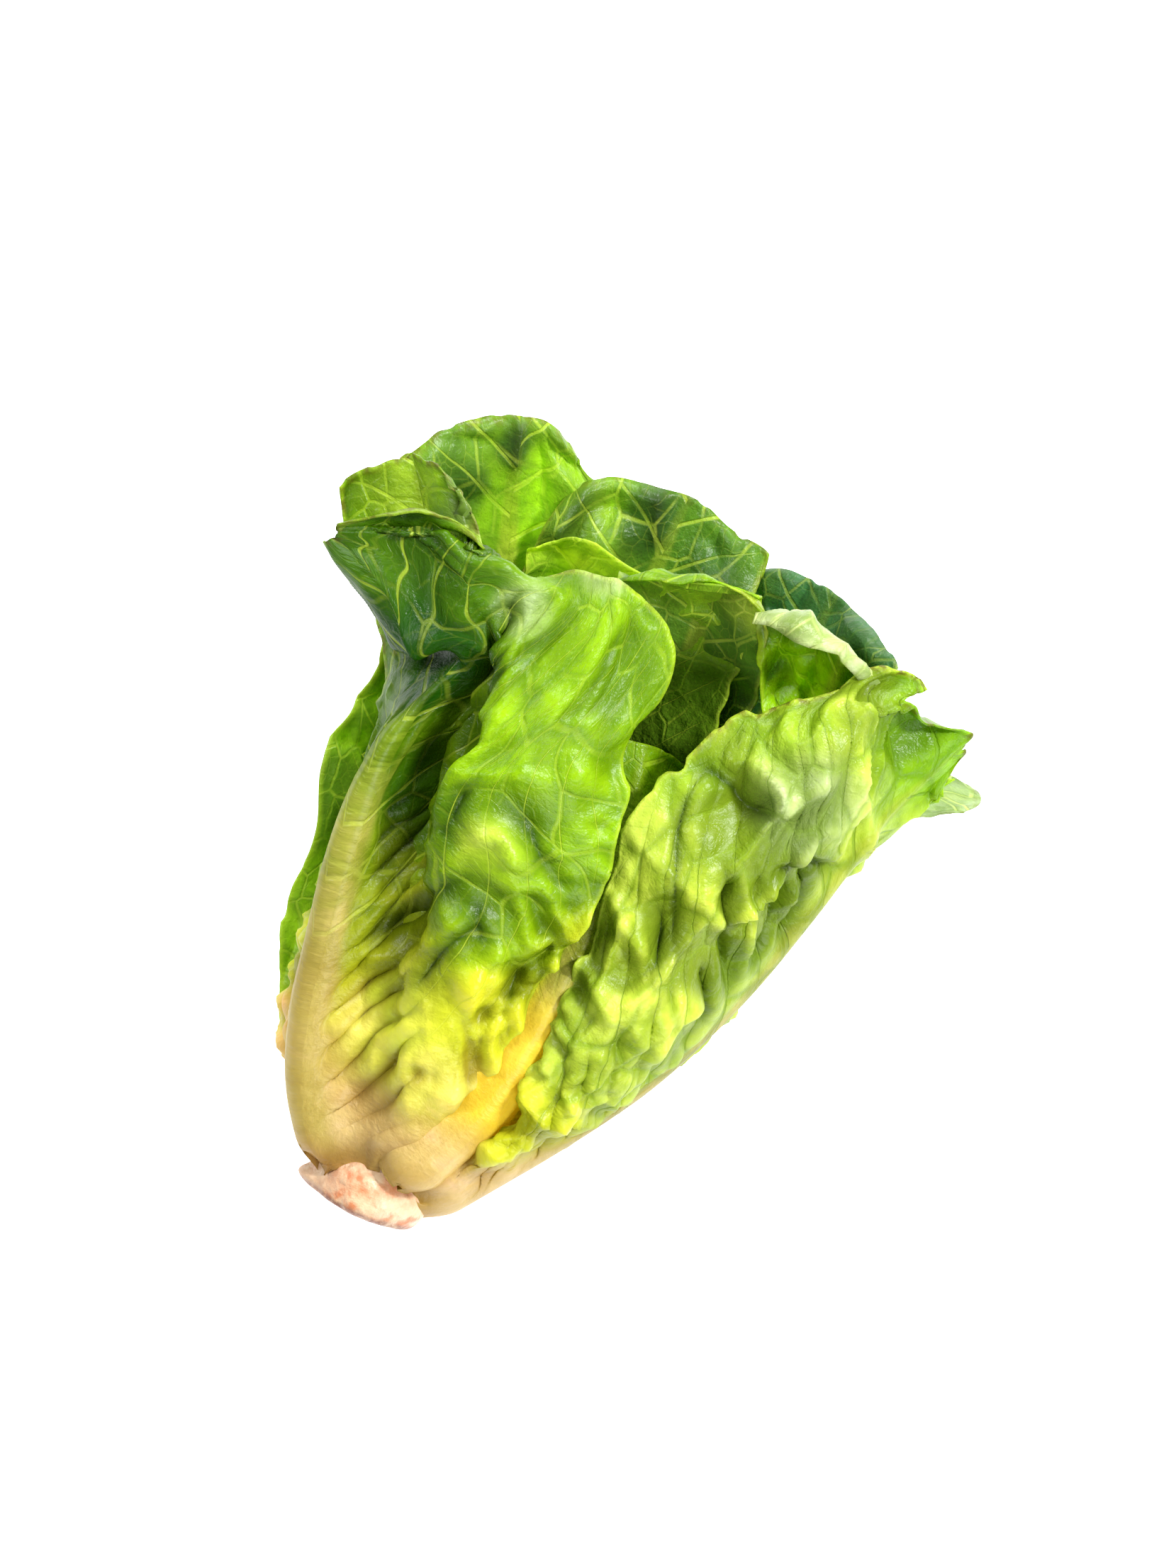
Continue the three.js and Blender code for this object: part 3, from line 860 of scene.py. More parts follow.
    def tint(self) -> np.ndarray:
        """Returns the blade's colour at each place, before veins and mottling, with the painted shade and
        light of its patches and folds.
        """
        tone = self.leaf.tone
        up = self.v + 0.05 * self.wander(Drift.TINT) + 0.03 * self.wander(Drift.TINT_FINE)
        up = up + 0.0012 * self.reach
        tint = Green.CREAM.colour() * np.ones_like(self.places)
        tint = blend(smooth_step(tone.cream * 0.7, tone.cream * 1.1, up), tint, Green.YELLOW.colour())
        tint = blend(smooth_step(tone.cream, tone.cream + tone.yellow, up), tint, tone.green.colour())
        # Patches: colours of the leaf's own, and painted shade and painted light.
        tint = self.patched(tint, False)
        rib = Green.IVORY.colour() * np.ones_like(tint)
        rib = blend(smooth_step(0.3, 0.75, self.v), rib, Green.STRAW.colour())
        reach = self.leaf.rib_reach
        share = smooth_step(0.3, 0.75, self.rib_share()) * smooth_step(1.1 * reach, 0.6 * reach, self.v)
        tint = self.patched(blend(share, tint, rib), True)
        # Painted shade along the valleys of the folds and painted highlight along their ridges.
        for fold in self.leaf.folds:
            shown, factor = (0.85, FOLD_SHADE) if fold.height < 0 else (0.5, FOLD_HIGHLIGHT)
            tint = blend(self.fold_share(fold) ** 1.3 * shown, tint, tint * factor)
        return tint

    def thicken(self, piece: bpy.types.Object) -> None:
        """Adds the blisters and the leaf's thickness.

        Args:
            piece: The leaf.
        """
        swell = piece.modifiers.new("blisters", "NODES")
        swell.node_group = blister_group(self.leaf.relief.cell)
        most = float(self.thickness().max())
        group = piece.vertex_groups.new(name="thick")
        weights = (self.thickness() / most).reshape(-1)
        for step in range(WEIGHT_STEPS + 1):
            chosen = np.nonzero(np.round(weights * WEIGHT_STEPS) == step)[0]
            if len(chosen):
                group.add(chosen.tolist(), step / WEIGHT_STEPS, "REPLACE")
        wall = piece.modifiers.new("thickness", "SOLIDIFY")
        wall.thickness = most * MM
        wall.offset = 1.0
        wall.vertex_group = "thick"
        wall.use_even_offset = False
        wall.material_offset = Skin.BACK.value


def write_value(mesh: bpy.types.Mesh, name: str, values: np.ndarray) -> None:
    """Writes one number per vertex."""
    data = mesh.attributes.new(name, "FLOAT", "POINT").data
    data.foreach_set("value", values.astype(np.float32).reshape(-1))


def write_vector(mesh: bpy.types.Mesh, name: str, values: np.ndarray) -> None:
    """Writes one vector per vertex."""
    data = mesh.attributes.new(name, "FLOAT_VECTOR", "POINT").data
    data.foreach_set("vector", values.astype(np.float32).reshape(-1))


# ---------------------------------------------------------------- nodes

Colour = tuple[float, float, float]
Socket = bpy.types.NodeSocket

BUMP_STRENGTH = 0.8


class Nodes:
    """Short ways of adding nodes to one tree."""

    def __init__(self, tree: bpy.types.NodeTree) -> None:
        """Keeps the tree."""
        self.tree = tree

    def add(
        self, kind: str, inputs: dict[str | int, object] | None = None, **settings: object
    ) -> bpy.types.Node:
        """Adds a node.

        Args:
            kind: Its type.
            inputs: What its inputs are linked to or set to, by name or place.
            settings: Its properties.

        Returns:
            The node.
        """
        node = self.tree.nodes.new(kind)
        for name, value in settings.items():
            setattr(node, name, value)
        for name, value in (inputs or {}).items():
            self.feed(node.inputs[name], value)
        return node

    def feed(self, socket: Socket, value: object) -> None:
        """Links an input, or sets its value.

        Args:
            socket: The input.
            value: Another node's output, or a number, a colour or a vector.
        """
        if isinstance(value, Socket):
            self.tree.links.new(value, socket)
        elif isinstance(value, tuple) and len(value) == 3 and len(socket.default_value) == 4:
            socket.default_value = (*value, 1.0)
        else:
            socket.default_value = value

    def attribute(self, name: str, output: str = "Fac") -> Socket:
        """Reads one of the piece's own values."""
        return self.add("ShaderNodeAttribute", attribute_name=name).outputs[output]

    def math(self, operation: str, *values: object) -> Socket:
        """Adds a sum."""
        return self.add("ShaderNodeMath", dict(enumerate(values)), operation=operation).outputs[0]

    def times(self, first: object, second: object) -> Socket:
        """Multiplies two numbers."""
        return self.math("MULTIPLY", first, second)

    def vector(self, operation: str, *values: object) -> Socket:
        """Adds a sum of vectors."""
        return self.add("ShaderNodeVectorMath", dict(enumerate(values)), operation=operation).outputs[0]

    def ramp(
        self, value: Socket, low: object, high: object, to_low: float = 0.0, to_high: float = 1.0
    ) -> Socket:
        """Maps a range smoothly to another."""
        inputs = {"Value": value, "From Min": low, "From Max": high, "To Min": to_low, "To Max": to_high}
        return self.add("ShaderNodeMapRange", inputs, interpolation_type="SMOOTHSTEP").outputs["Result"]

    def mix(self, share: object, first: object, second: object) -> Socket:
        """Mixes two colours."""
        inputs = {0: share, 6: first, 7: second}
        return self.add("ShaderNodeMix", inputs, data_type="RGBA", clamp_factor=True).outputs[2]

    def scale(self, colour: Socket, by: Colour) -> Socket:
        """Multiplies a colour by another."""
        inputs = {0: 1.0, 6: colour, 7: by}
        return self.add("ShaderNodeMix", inputs, data_type="RGBA", blend_type="MULTIPLY").outputs[2]

    def noise(self, where: Socket, scale: float, detail: float = 2.0, roughness: float = 0.5) -> Socket:
        """Adds smooth noise."""
        inputs = {"Vector": where, "Scale": scale, "Detail": detail, "Roughness": roughness}
        return self.add("ShaderNodeTexNoise", inputs).outputs["Fac"]

    def bump(self, height: Socket, distance: float) -> Socket:
        """Adds fine relief, from a height in units of a distance in metres."""
        inputs = {"Strength": BUMP_STRENGTH, "Distance": distance, "Height": height}
        return self.add("ShaderNodeBump", inputs).outputs[0]


def new_group(name: str, kind: str, inputs: dict[str, str], outputs: dict[str, str]) -> bpy.types.NodeTree:
    """Makes an empty node group.

    Args:
        name: What it is called.
        kind: The type of its tree.
        inputs: The kind of each input, by name.
        outputs: The same for its outputs.

    Returns:
        The group.
    """
    tree = bpy.data.node_groups.new(name, kind)
    for way, sockets in (("INPUT", inputs), ("OUTPUT", outputs)):
        for socket, value in sockets.items():
            tree.interface.new_socket(socket, in_out=way, socket_type="NodeSocket" + value)
    return tree


def new_material(name: str) -> tuple[bpy.types.Material, Nodes]:
    """Makes a material without nodes, and the means to add them."""
    material = bpy.data.materials.new(name)
    material.use_nodes = True
    material.node_tree.nodes.clear()
    return material, Nodes(material.node_tree)


# ---------------------------------------------------------------- the network of veins

# How far and how finely the net is bent, in meshes, and how it is stretched along the leaf.
CELL_WARP = 2 / 3
CELL_WARP_SCALE = 0.54
CELL_STRETCH = (1.0, 0.75, 0.0)

# How far apart in the net two leaves with neighbouring seeds start, in millimetres.
SEED_SHIFT = 53.0


def add_cells(n: Nodes, coordinates: Socket, cell: float) -> Socket:
    """Adds the net of small veins to a node tree.

    Args:
        n: Adds to a material's tree or a modifier's.
        coordinates: The blade's own coordinates, in millimetres.
        cell: Width of a mesh of the net, in millimetres.

    Returns:
        A socket with the distance from the nearest vein, in meshes.
    """
    inputs = {"Scale": CELL_WARP_SCALE / cell, "Detail": 2.0, "Vector": coordinates}
    warp = n.add("ShaderNodeTexNoise", inputs).outputs["Color"]
    bent = n.vector("MULTIPLY_ADD", warp, (CELL_WARP * cell,) * 3, coordinates)
    stretched = n.vector("MULTIPLY", bent, CELL_STRETCH)
    seed = n.add("ShaderNodeSeparateXYZ", {0: coordinates}).outputs["Z"]
    place = n.vector("ADD", stretched, n.times(seed, SEED_SHIFT))
    net = n.add(
        "ShaderNodeTexVoronoi",
        {"Scale": 1.0 / cell, "Vector": place},
        voronoi_dimensions="2D",
        feature="DISTANCE_TO_EDGE",
    )
    return net.outputs["Distance"]


def blister_group(cell: float) -> bpy.types.NodeTree:
    """Makes, once for each size, the group that swells a blade between its small veins.

    Args:
        cell: Width of a mesh of the net, in millimetres.

    Returns:
        The geometry node group.
    """
    name = f"blisters_{cell:g}"
    if name in bpy.data.node_groups:
        return bpy.data.node_groups[name]
    tree = new_group(name, "GeometryNodeTree", {"Leaf": "Geometry"}, {"Leaf": "Geometry"})
    n = Nodes(tree)
    given = n.add("NodeGroupInput").outputs[0]
    blade, amount = (
        n.add("GeometryNodeInputNamedAttribute", {"Name": value}, data_type=kind).outputs["Attribute"]
        for kind, value in (("FLOAT_VECTOR", "blade"), ("FLOAT", "blister"))
    )
    net = add_cells(n, blade, cell)
    inputs = {"Value": net, "From Min": -0.12, "From Max": 0.42, "To Min": -0.45, "To Max": 0.55}
    dome = n.add("ShaderNodeMapRange", inputs, interpolation_type="SMOOTHERSTEP").outputs["Result"]
    normal = n.add("GeometryNodeInputNormal").outputs["Normal"]
    inputs = {0: normal, "Scale": n.times(dome, amount)}
    push = n.add("ShaderNodeVectorMath", inputs, operation="SCALE").outputs[0]
    moved = n.add("GeometryNodeSetPosition", {"Geometry": given, "Offset": push}).outputs[0]
    n.add("NodeGroupOutput", {0: moved})
    return tree


# ---------------------------------------------------------------- finishes


@dataclass(frozen=True)
class LeafFinish:
    """How one side of a leaf takes its colour and light.

    Attributes:
        name: What the finish is called.
        pale: The waxy colour that lies over the blade's own.
        pale_share: How far it covers it, from 0 to 1.
        vein: The bright veins.
        vein_strength: How far side veins stand out in colour, from 0 to 1.
        net_strength: The same for the net of small veins.
        roughness: Of the waxy surface.
        glow: Share of light that passes through the blade.
    """

    name: str
    pale: Colour
    pale_share: float
    vein: Colour
    vein_strength: float
    net_strength: float
    roughness: float
    glow: float


# What the blade's colour is multiplied by in its darker mottling, which also paints shade beside the net of
# veins, and in the painted shade of its valleys, on the pale base and on the green part; in its lighter
# mottling and the painted light on its swellings and ridges; in the painted shade of sunken veins; and in
# light that passes through it.
DARKER_BASE = (0.80, 0.72, 0.60)
DARKER = (0.52, 0.63, 0.25)
VALLEY_SHADE_BASE = (0.62, 0.52, 0.30)
VALLEY_SHADE = (0.38, 0.48, 0.20)
LIGHTER = (1.26, 1.16, 2.0)
SUNKEN_VEIN_SHADE = (0.40, 0.56, 0.15)
THROUGH = (1.40, 1.45, 0.40)

BROWNED = (0.10, 0.045, 0.012)


def leaf_group(cell: float) -> bpy.types.NodeTree:
    """Makes, once for each size of net, the group that colours a leaf, with painted shade and light from
    its relief, and gives its fine relief.

    Args:
        cell: Width of a mesh of the net, in millimetres.

    Returns:
        The shader node group.
    """
    name = f"leaf_{cell:g}"
    if name in bpy.data.node_groups:
        return bpy.data.node_groups[name]
    amounts = ("Pale Share", "Vein Strength", "Net Strength", "Roughness")
    tree = new_group(
        name,
        "ShaderNodeTree",
        {"Pale": "Color", "Vein": "Color"} | dict.fromkeys(amounts, "Float"),
        {"Colour": "Color", "Through": "Color", "Height": "Float", "Roughness": "Float"},
    )
    n = Nodes(tree)
    given = n.add("NodeGroupInput").outputs
    blade = n.attribute("blade", "Vector")
    tint = n.attribute("tint", "Color")
    margin, lit, leafy, lift = (n.attribute(value) for value in ("margin", "lit", "leafy", "lift"))
    # Veins: side veins that thin out towards the margin, then a net, then a finer net.
    reach = n.math("ABSOLUTE", n.add("ShaderNodeSeparateXYZ", {0: blade}).outputs[0])
    phase = n.math("FRACT", n.math("ADD", n.attribute("vein"), 0.5))
    apart = n.math("ABSOLUTE", n.math("SUBTRACT", phase, 0.5))
    width = n.ramp(reach, 4.0, 40.0, 0.066, 0.028)
    side = n.ramp(apart, n.times(width, 0.35), width, 1.0, 0.0)
    side = n.times(side, n.ramp(margin, 2.0, 10.0))
    side = n.times(side, n.ramp(n.noise(blade, 0.06), 0.3, 0.6, 0.25, 1.0))
    side = n.times(side, leafy)
    net_distance = add_cells(n, blade, cell)
    fine = n.ramp(add_cells(n, blade, cell * 0.36), 0.01, 0.07, 1.0, 0.0)
    net = n.math("MAXIMUM", n.ramp(net_distance, 0.014, 0.060, 1.0, 0.0), n.times(fine, 0.3))
    net = n.times(net, n.ramp(n.noise(blade, 0.09), 0.3, 0.65, 0.15, 1.0))
    net = n.times(net, leafy)
    # The blade's colour, mottled, with painted light on the swellings and ridges, painted shade in the
    # valleys and beside the net of veins, and wax over them.
    mottle = n.noise(blade, 0.08, 4.0, 0.62)
    speck = n.noise(blade, 0.8, 3.0, 0.6)
    puff = n.ramp(net_distance, 0.0, 0.4)
    darker = n.mix(leafy, n.scale(tint, DARKER_BASE), n.scale(tint, DARKER))
    valley_shade = n.mix(leafy, n.scale(tint, VALLEY_SHADE_BASE), n.scale(tint, VALLEY_SHADE))
    lighter = n.scale(tint, LIGHTER)
    green = n.mix(n.ramp(mottle, 0.28, 0.60), darker, tint)
    # Painted light on the swellings between the small veins.
    painted_swelling_light = n.math("ADD", 0.35, n.times(puff, 0.5))
    green = n.mix(n.times(n.ramp(mottle, 0.50, 0.78), painted_swelling_light), green, lighter)
    green = n.mix(n.ramp(speck, 0.55, 0.8, 0.0, 0.25), green, lighter)
    # Painted shade in the valleys of the relief.
    green = n.mix(n.times(n.ramp(lift, -0.8, 0.1, 1.0, 0.0), 0.85), green, valley_shade)
    # Painted shade in the dips along the net of small veins.
    green = n.mix(n.times(n.ramp(net_distance, 0.0, 0.16, 0.7, 0.0), leafy), green, darker)
    # Painted highlight on the ridges of the relief.
    green = n.mix(n.times(n.ramp(lift, 0.1, 0.9), 0.7), green, lighter)
    green = n.mix(n.times(given["Pale Share"], leafy), green, given["Pale"])
    bright = n.mix(0.55, lighter, given["Vein"])
    # Veins darkened by painted shade, as if sunken, where lit is low, and bright veins where it is high.
    vein = n.mix(lit, n.scale(tint, SUNKEN_VEIN_SHADE), bright)
    veins = n.math("MAXIMUM", n.times(side, given["Vein Strength"]), n.times(net, given["Net Strength"]))
    colour = n.mix(veins, green, vein)
    # A painted highlight along the thin margin.
    colour = n.mix(n.ramp(margin, 0.2, 2.2, 0.55, 0.0), colour, bright)
    # Streaks along the pale midrib, and a browned margin.
    streak = n.noise(n.vector("MULTIPLY", blade, (1.0, 0.06, 1.0)), 0.9, 3.0, 0.6)
    rib = n.times(n.attribute("rib"), n.ramp(streak, 0.35, 0.75, 0.0, 0.45))
    colour = n.mix(rib, colour, darker)
    brown = n.times(n.attribute("brown"), n.ramp(n.noise(blade, 0.35, 3.0), 0.42, 0.62))
    colour = n.mix(brown, colour, BROWNED)
    # Fine relief, in millimetres: veins, the grain of the wax and shallow dents.
    wrinkle = n.math("ABSOLUTE", n.math("SUBTRACT", n.noise(blade, 0.45, 3.0), 0.5))
    grain = n.math("SUBTRACT", n.times(n.noise(blade, 1.6, 3.0), 0.08), n.times(wrinkle, 0.6))
    dents = n.times(n.noise(blade, 0.28, 3.0), 0.8)
    lines = n.math("MAXIMUM", side, n.times(net, 0.6))
    n.add("NodeGroupOutput", {
        "Colour": colour,
        "Through": n.scale(colour, THROUGH),
        "Height": n.math("ADD", n.math("ADD", grain, dents), n.times(lines, -0.4)),
        "Roughness": n.math("ADD", given["Roughness"], n.times(n.noise(blade, 0.2), 0.16)),
    })
    return tree


def leaf_material(finish: LeafFinish, cell: float) -> bpy.types.Material:
    """Makes, once for each size of net, the material of one side of a leaf.

    Args:
        finish: Its colours and gloss.
        cell: Width of a mesh of the net, in millimetres.

    Returns:
        The material.
    """
    name = f"{finish.name}_{cell:g}"
    if name in bpy.data.materials:
        return bpy.data.materials[name]
    material, n = new_material(name)
    inputs = {
        "Pale": finish.pale, "Pale Share": finish.pale_share, "Roughness": finish.roughness,
        "Vein": finish.vein, "Vein Strength": finish.vein_strength, "Net Strength": finish.net_strength,
    }
    pattern = n.add("ShaderNodeGroup", inputs, node_tree=leaf_group(cell)).outputs
    bump = n.bump(pattern["Height"], MM)
    skin = n.add("ShaderNodeBsdfPrincipled", {
        "Base Color": pattern["Colour"], "Roughness": pattern["Roughness"], "Normal": bump, "IOR": 1.38,
        "Specular IOR Level": 0.40, "Coat Weight": 0.12, "Coat Roughness": 0.28, "Coat IOR": 1.45,
    })
    through = n.add("ShaderNodeBsdfTranslucent", {"Color": pattern["Through"], "Normal": bump})
    both = n.add("ShaderNodeMixShader", {0: finish.glow, 1: skin.outputs[0], 2: through.outputs[0]})
    n.add("ShaderNodeOutputMaterial", {"Surface": both.outputs[0]})
    return material


FACE = LeafFinish(
    name="leaf_face",
    pale=(0.20, 0.42, 0.10),
    pale_share=0.0,
    vein=(0.62, 0.74, 0.06),
    vein_strength=0.9,
    net_strength=0.45,
    roughness=0.24,
    glow=0.50,
)
BACK = LeafFinish(
    name="leaf_back",
    pale=(0.42, 0.56, 0.22),
    pale_share=0.06,
    vein=(0.66, 0.76, 0.10),
    vein_strength=0.85,
    net_strength=0.75,
    roughness=0.25,
    glow=0.38,
)


# ---------------------------------------------------------------- the leaves

LEAVES: tuple[Leaf, ...] = (
    Leaf(
        name="outer_leaf_upper_left",
        facing=-48,
        layer=0,
        rib=line("""
            -11 6 34, -27 24 46, -35 42 57, -40 62 68, -45 84 79, -47 106 90, -44 130 99, -39 148 101,
            -43 149 104, -49 141 106, -53 143 111, -60 150 115, -71 156 116, -83 160 114
        """),
        left=drawn("""
            -17 9 30, -32 26 40, -42 48 52, -46 70 63, -49 92 74, -50 112 84, -49 132 92, -46 149 96,
            -50 150 99, -57 141 102, -61 144 108, -68 149 112, -76 154 114, -84 159 114;
            -20 14 27, -38 30 33, -48 54 43, -50 76 52, -53 98 62, -54 118 72, -55 136 84, -54 149 92,
            -58 151 95, -65 146 100, -69 148 107, -74 151 110, -80 154 112, -85 158 113;
            -23 20 25, -42 34 28, -50 60 36, -53 84 44, -56 106 54, -58 122 64, -60 138 78, -62 148 88,
            -66 152 92, -73 150 99, -77 152 105, -80 154 108, -83 156 110, -86 158 112
        """),
        right=drawn("""
            -9 8 38, -18 26 49, -26 46 59, -31 66 69, -35 88 76, -36 108 80, -35 126 84, -33 142 94,
            -42 150 110, -60 158 117, -83 160 115;
            -5 9 40, -11 28 52, -17 50 62, -21 72 71, -24 93 72, -24 112 73, -21 130 80, -24 148 97,
            -39 158 114, -60 164 120, -83 161 116;
            -3 10 42, -7 30 55, -11 53 67, -15 76 78, -20 98 81, -22 112 85, -19 128 91, -27 147 102,
            -37 160 115, -60 168 123, -83 161 116;
            -1 10 44, -3 30 57, -8 54 71, -13 77 84, -24 100 93, -27 113 99, -24 128 105, -30 147 109,
            -35 160 115, -59 170 123, -83 161 116;
            1 11 45, 0 31 59, -3 55 73, -6 78 87, -14 99 97, -17 114 104, -14 129 109, -24 146 112,
            -32 161 115, -56 172 124, -84 162 116;
            4 12 46, 5 33 60, 4 57 74, 1 81 87, -6 103 98, -10 120 106, -10 136 110, -12 153 112,
            -22 166 114, -48 174 122, -84 162 116;
            7 14 46, 11 34 58, 12 56 69, 12 80 80, 10 102 92, 9 120 99, 6 138 104, 2 156 108,
            -8 172 112, -34 172 117, -60 174 124, -84 163 117;
            10 18 44, 16 34 53, 19 52 62, 21 70 71, 22 82 77, 26 101 86, 25 115 90, 22 126 93,
            20 136 94, 14 144 96, 13 152 98, 17 163 101, 15 174 104, 9 181 106, -4 185 110, -16 184 112,
            -24 180 113, -29 171 112, -36 170 116, -46 175 122, -58 176 126, -71 171 124, -84 163 117
        """),
        relief=Relief(
            pleat=2.2, pleat_gap=10, pleat_span=0.48, pleat_reach=30, blister=0.9, cell=14, crease=0.8,
            crease_gap=10, ruffle=0.7, crumple=1.5, frill=3.4,
        ),
        folds=(
            Fold(line("-21 138 110, -21 128 108, -26 119 103, -25 110 99, -24 102 95"), 3.4),
            Fold(line("-20 117 104, -20 108 100, -21 100 94"), -2.4, 2.5),
            Fold(line("-33 80 72, -29 91 71, -23 99 93, -16 115 103"), 2.8),
            Fold(line("-25 118 103, -15 121 106, -4 126 105"), 2.0),
            Fold(line("-4 117 102, 2 112 99, 8 106 95"), -2.8, 3.5),
            Fold(line("-32 69 70, -26 82 70, -18 92 91, -12 103 99"), 3.0),
            Fold(line("-29 68 68, -22 80 71, -14 90 91, -9 95 93"), -2.6),
            Fold(line("-12 103 99, -8 108 100, -4 107 100, 2 102 96"), 3.6),
            Fold(line("-16 61 67, -11 74 83, -5 87 90"), 3.0),
            Fold(line("-12 60 76, -7 74 85, -1 85 89"), -2.8, 2.6),
            Fold(line("-5 91 90, -1 85 89, 3 80 86"), -2.4),
            Fold(line("-30 169 117, -31 164 116, -30 156 112, -29 150 101, -28 141 93"), -3.4, 2.4),
            Fold(line("-26 173 116, -27 166 115, -26 157 112, -23 148 111, -21 138 111"), 2.4, 2.4),
            Fold(line("-21 149 111, -9 145 112, -1 135 107"), 1.4),
            Fold(line("7 84 85, 5 71 82, 8 61 70"), 2.8),
            Fold(line("13 81 77, 16 70 74"), -2.6),
        ),
        edge=Edge(wave=0.0, tear=0.5, lobe=0.0),
        tone=Tone(green=Green.BRIGHT, cream=0.24, yellow=0.32, lit=0.85, browning=0.5, patches=(
            Patch((-2, 48, 64), 34, Green.PRIMROSE, 0.65),
            # Painted shade in the hollow beside the rib.
            Patch((-30, 112, 80), 26, Green.PAINTED_SHADE, 0.8),
            Patch((-22, 80, 72), 34, Green.OLIVE, 0.6),
            # Painted shade over the flap, which turns away from the light, and in the hollow under it.
            Patch((-62, 156, 114), 38, Green.LEAF),
            Patch((-46, 145, 104), 27, Green.PAINTED_SHADE),
            Patch((-42, 162, 118), 15, Green.LEAF, 0.8),
            # A painted highlight on the crest.
            Patch((-20, 128, 108), 20, Green.SUNLIT, 0.35),
            Patch((-5, 103, 98), 14, Green.PRIMROSE, 0.6),
            Patch((4, 168, 106), 34, Green.LIME),
            Patch((12, 128, 98), 34, Green.LIME),
            Patch((-28, 165, 115), 10, Green.SILVER, 0.5),
            Patch((-6, 18, 44), 28, Green.SAND, 0.8),
            Patch((-13, 4, 32), 22, Green.BLUSH, 0.6, over_rib=True),
            Patch((2, 90, 88), 26, Green.LIME, 0.8),
            Patch((12, 64, 72), 22, Green.YELLOW, 0.8),
            Patch((-12, 185, 113), 9, Green.SILVER, 0.7),
        )),
        grid=HERO_GRID,
        rib_thickness=6.5,
        rib_half_width=9,
        rib_reach=0.68,
    ),
    Leaf(
        name="outer_leaf_right",
        facing=95,
        layer=0,
        rib=line("""
            14 6 24, 29 26 27, 44 48 30, 58 72 34, 69 98 40, 77 124 48, 82 146 60, 85 164 68, 91 180 70,
            98 196 76
        """),
        left=drawn("""
            16 8 30, 34 30 41, 50 52 48, 62 76 53, 69 100 58, 74 124 64, 78 144 72, 80 164 76,
            88 182 76, 99 199 78;
            15 9 33, 34 31 48, 47 53 58, 57 78 65, 63 102 70, 67 125 76, 73 146 86, 75 164 91,
            80 184 84, 96 200 80;
            14 10 36, 32 32 54, 42 54 65, 50 80 73, 54 104 79, 57 126 85, 62 147 93, 68 166 99,
            70 186 97, 92 202 83;
            13 12 38, 28 31 51, 37 54 64, 40 79 74, 42 101 81, 43 121 87, 44 141 92, 50 162 95,
            58 181 97, 84 202 87;
            12 14 40, 25 29 46, 31 54 58, 27 78 70, 27 96 77, 25 118 83, 22 135 88, 28 150 90,
            37 171 93, 52 183 94, 60 194 96, 71 202 94, 86 203 87
        """),
        right=drawn("""
            17 10 15, 32 30 17, 48 52 18, 62 76 22, 72 102 29, 80 128 38, 86 152 50, 90 166 58,
            95 180 64, 100 194 72;
            18 18 8, 30 34 8, 45 58 9, 59 84 13, 70 110 20, 80 138 32, 86 158 44, 92 172 50, 99 184 58,
            101 192 66
        """),
        relief=Relief(
            pleat=1.5, pleat_gap=12, pleat_span=0.4, blister=1.4, cell=15, crease=4.2, crease_gap=14,
            ruffle=1.0, crumple=2.4, frill=3.2, groove=0.7,
        ),
        folds=(
            Fold(line("53 130 86, 60 118 75, 69 105 59"), -7.0),
            Fold(line("56 133 85, 64 121 67, 71 107 53"), 3.6),
            Fold(line("72 136 75, 73 127 64, 72 116 58"), -7.0),
            Fold(line("76 143 77, 77 133 61, 75 123 54"), -5.6),
            Fold(line("59 105 70, 67 92 53"), -5.0),
            Fold(line("63 138 81, 72 145 82, 80 152 67"), 3.6, 3.5),
            Fold(line("65 137 78, 73 142 81, 80 149 66"), -5.6),
            Fold(line("68 181 94, 76 169 92, 84 160 67, 84 152 50"), 3.0, 3.5),
            Fold(line("35 152 92, 36 136 90, 41 123 88, 53 101 76"), -2.5, 2.0),
            Fold(line("32 152 92, 44 151 90, 52 149 89, 59 148 90"), -2.5, 2.0),
            Fold(line("59 148 90, 63 157 90, 68 165 95"), 2.8, 3.5),
            Fold(line("40 114 82, 46 105 77, 49 94 76"), -3.4),
            Fold(line("39 106 82, 46 93 73, 47 81 76"), 2.4),
            Fold(line("57 97 70, 58 85 68, 58 75 60"), 2.2),
        ),
        edge=Edge(wave=0.0, tear=1.6, lobe=0.07),
        tone=Tone(green=Green.PALE, cream=0.16, yellow=0.18, lit=0.15, browning=0.7, patches=(
            # A painted highlight on the crest.
            Patch((66, 155, 92), 22, Green.SILVER, 0.8),
            Patch((48, 176, 94), 20, Green.LIME, 0.5),
            Patch((30, 150, 90), 16, Green.LIME, 0.5),
            Patch((96, 194, 78), 36, Green.LIME),
            Patch((50, 104, 76), 34, Green.PRIMROSE, 0.5),
            Patch((22, 16, 26), 36, Green.SAND, 0.85, over_rib=True),
            Patch((66, 112, 60), 14, Green.BRIGHT, 0.4),
            Patch((52, 56, 58), 24, Green.PRIMROSE, 0.5),
            Patch((34, 40, 50), 26, Green.YELLOW, 0.8),
            Patch((24, 16, 30), 22, Green.CREAM, 0.8),
        )),
        grid=HERO_GRID,
        rib_half_width=11,
    ),
    Leaf(
        name="outer_leaf_left",
        facing=-125,
        layer=0,
        rib=line("-13 8 11, -34 34 8, -47 66 7, -54 98 9, -58 128 15, -62 156 30, -68 176 50"),
        left=RolledHalf((8, 24, 32, 32, 30, 22), (0, 10, 20, 20, 20)),
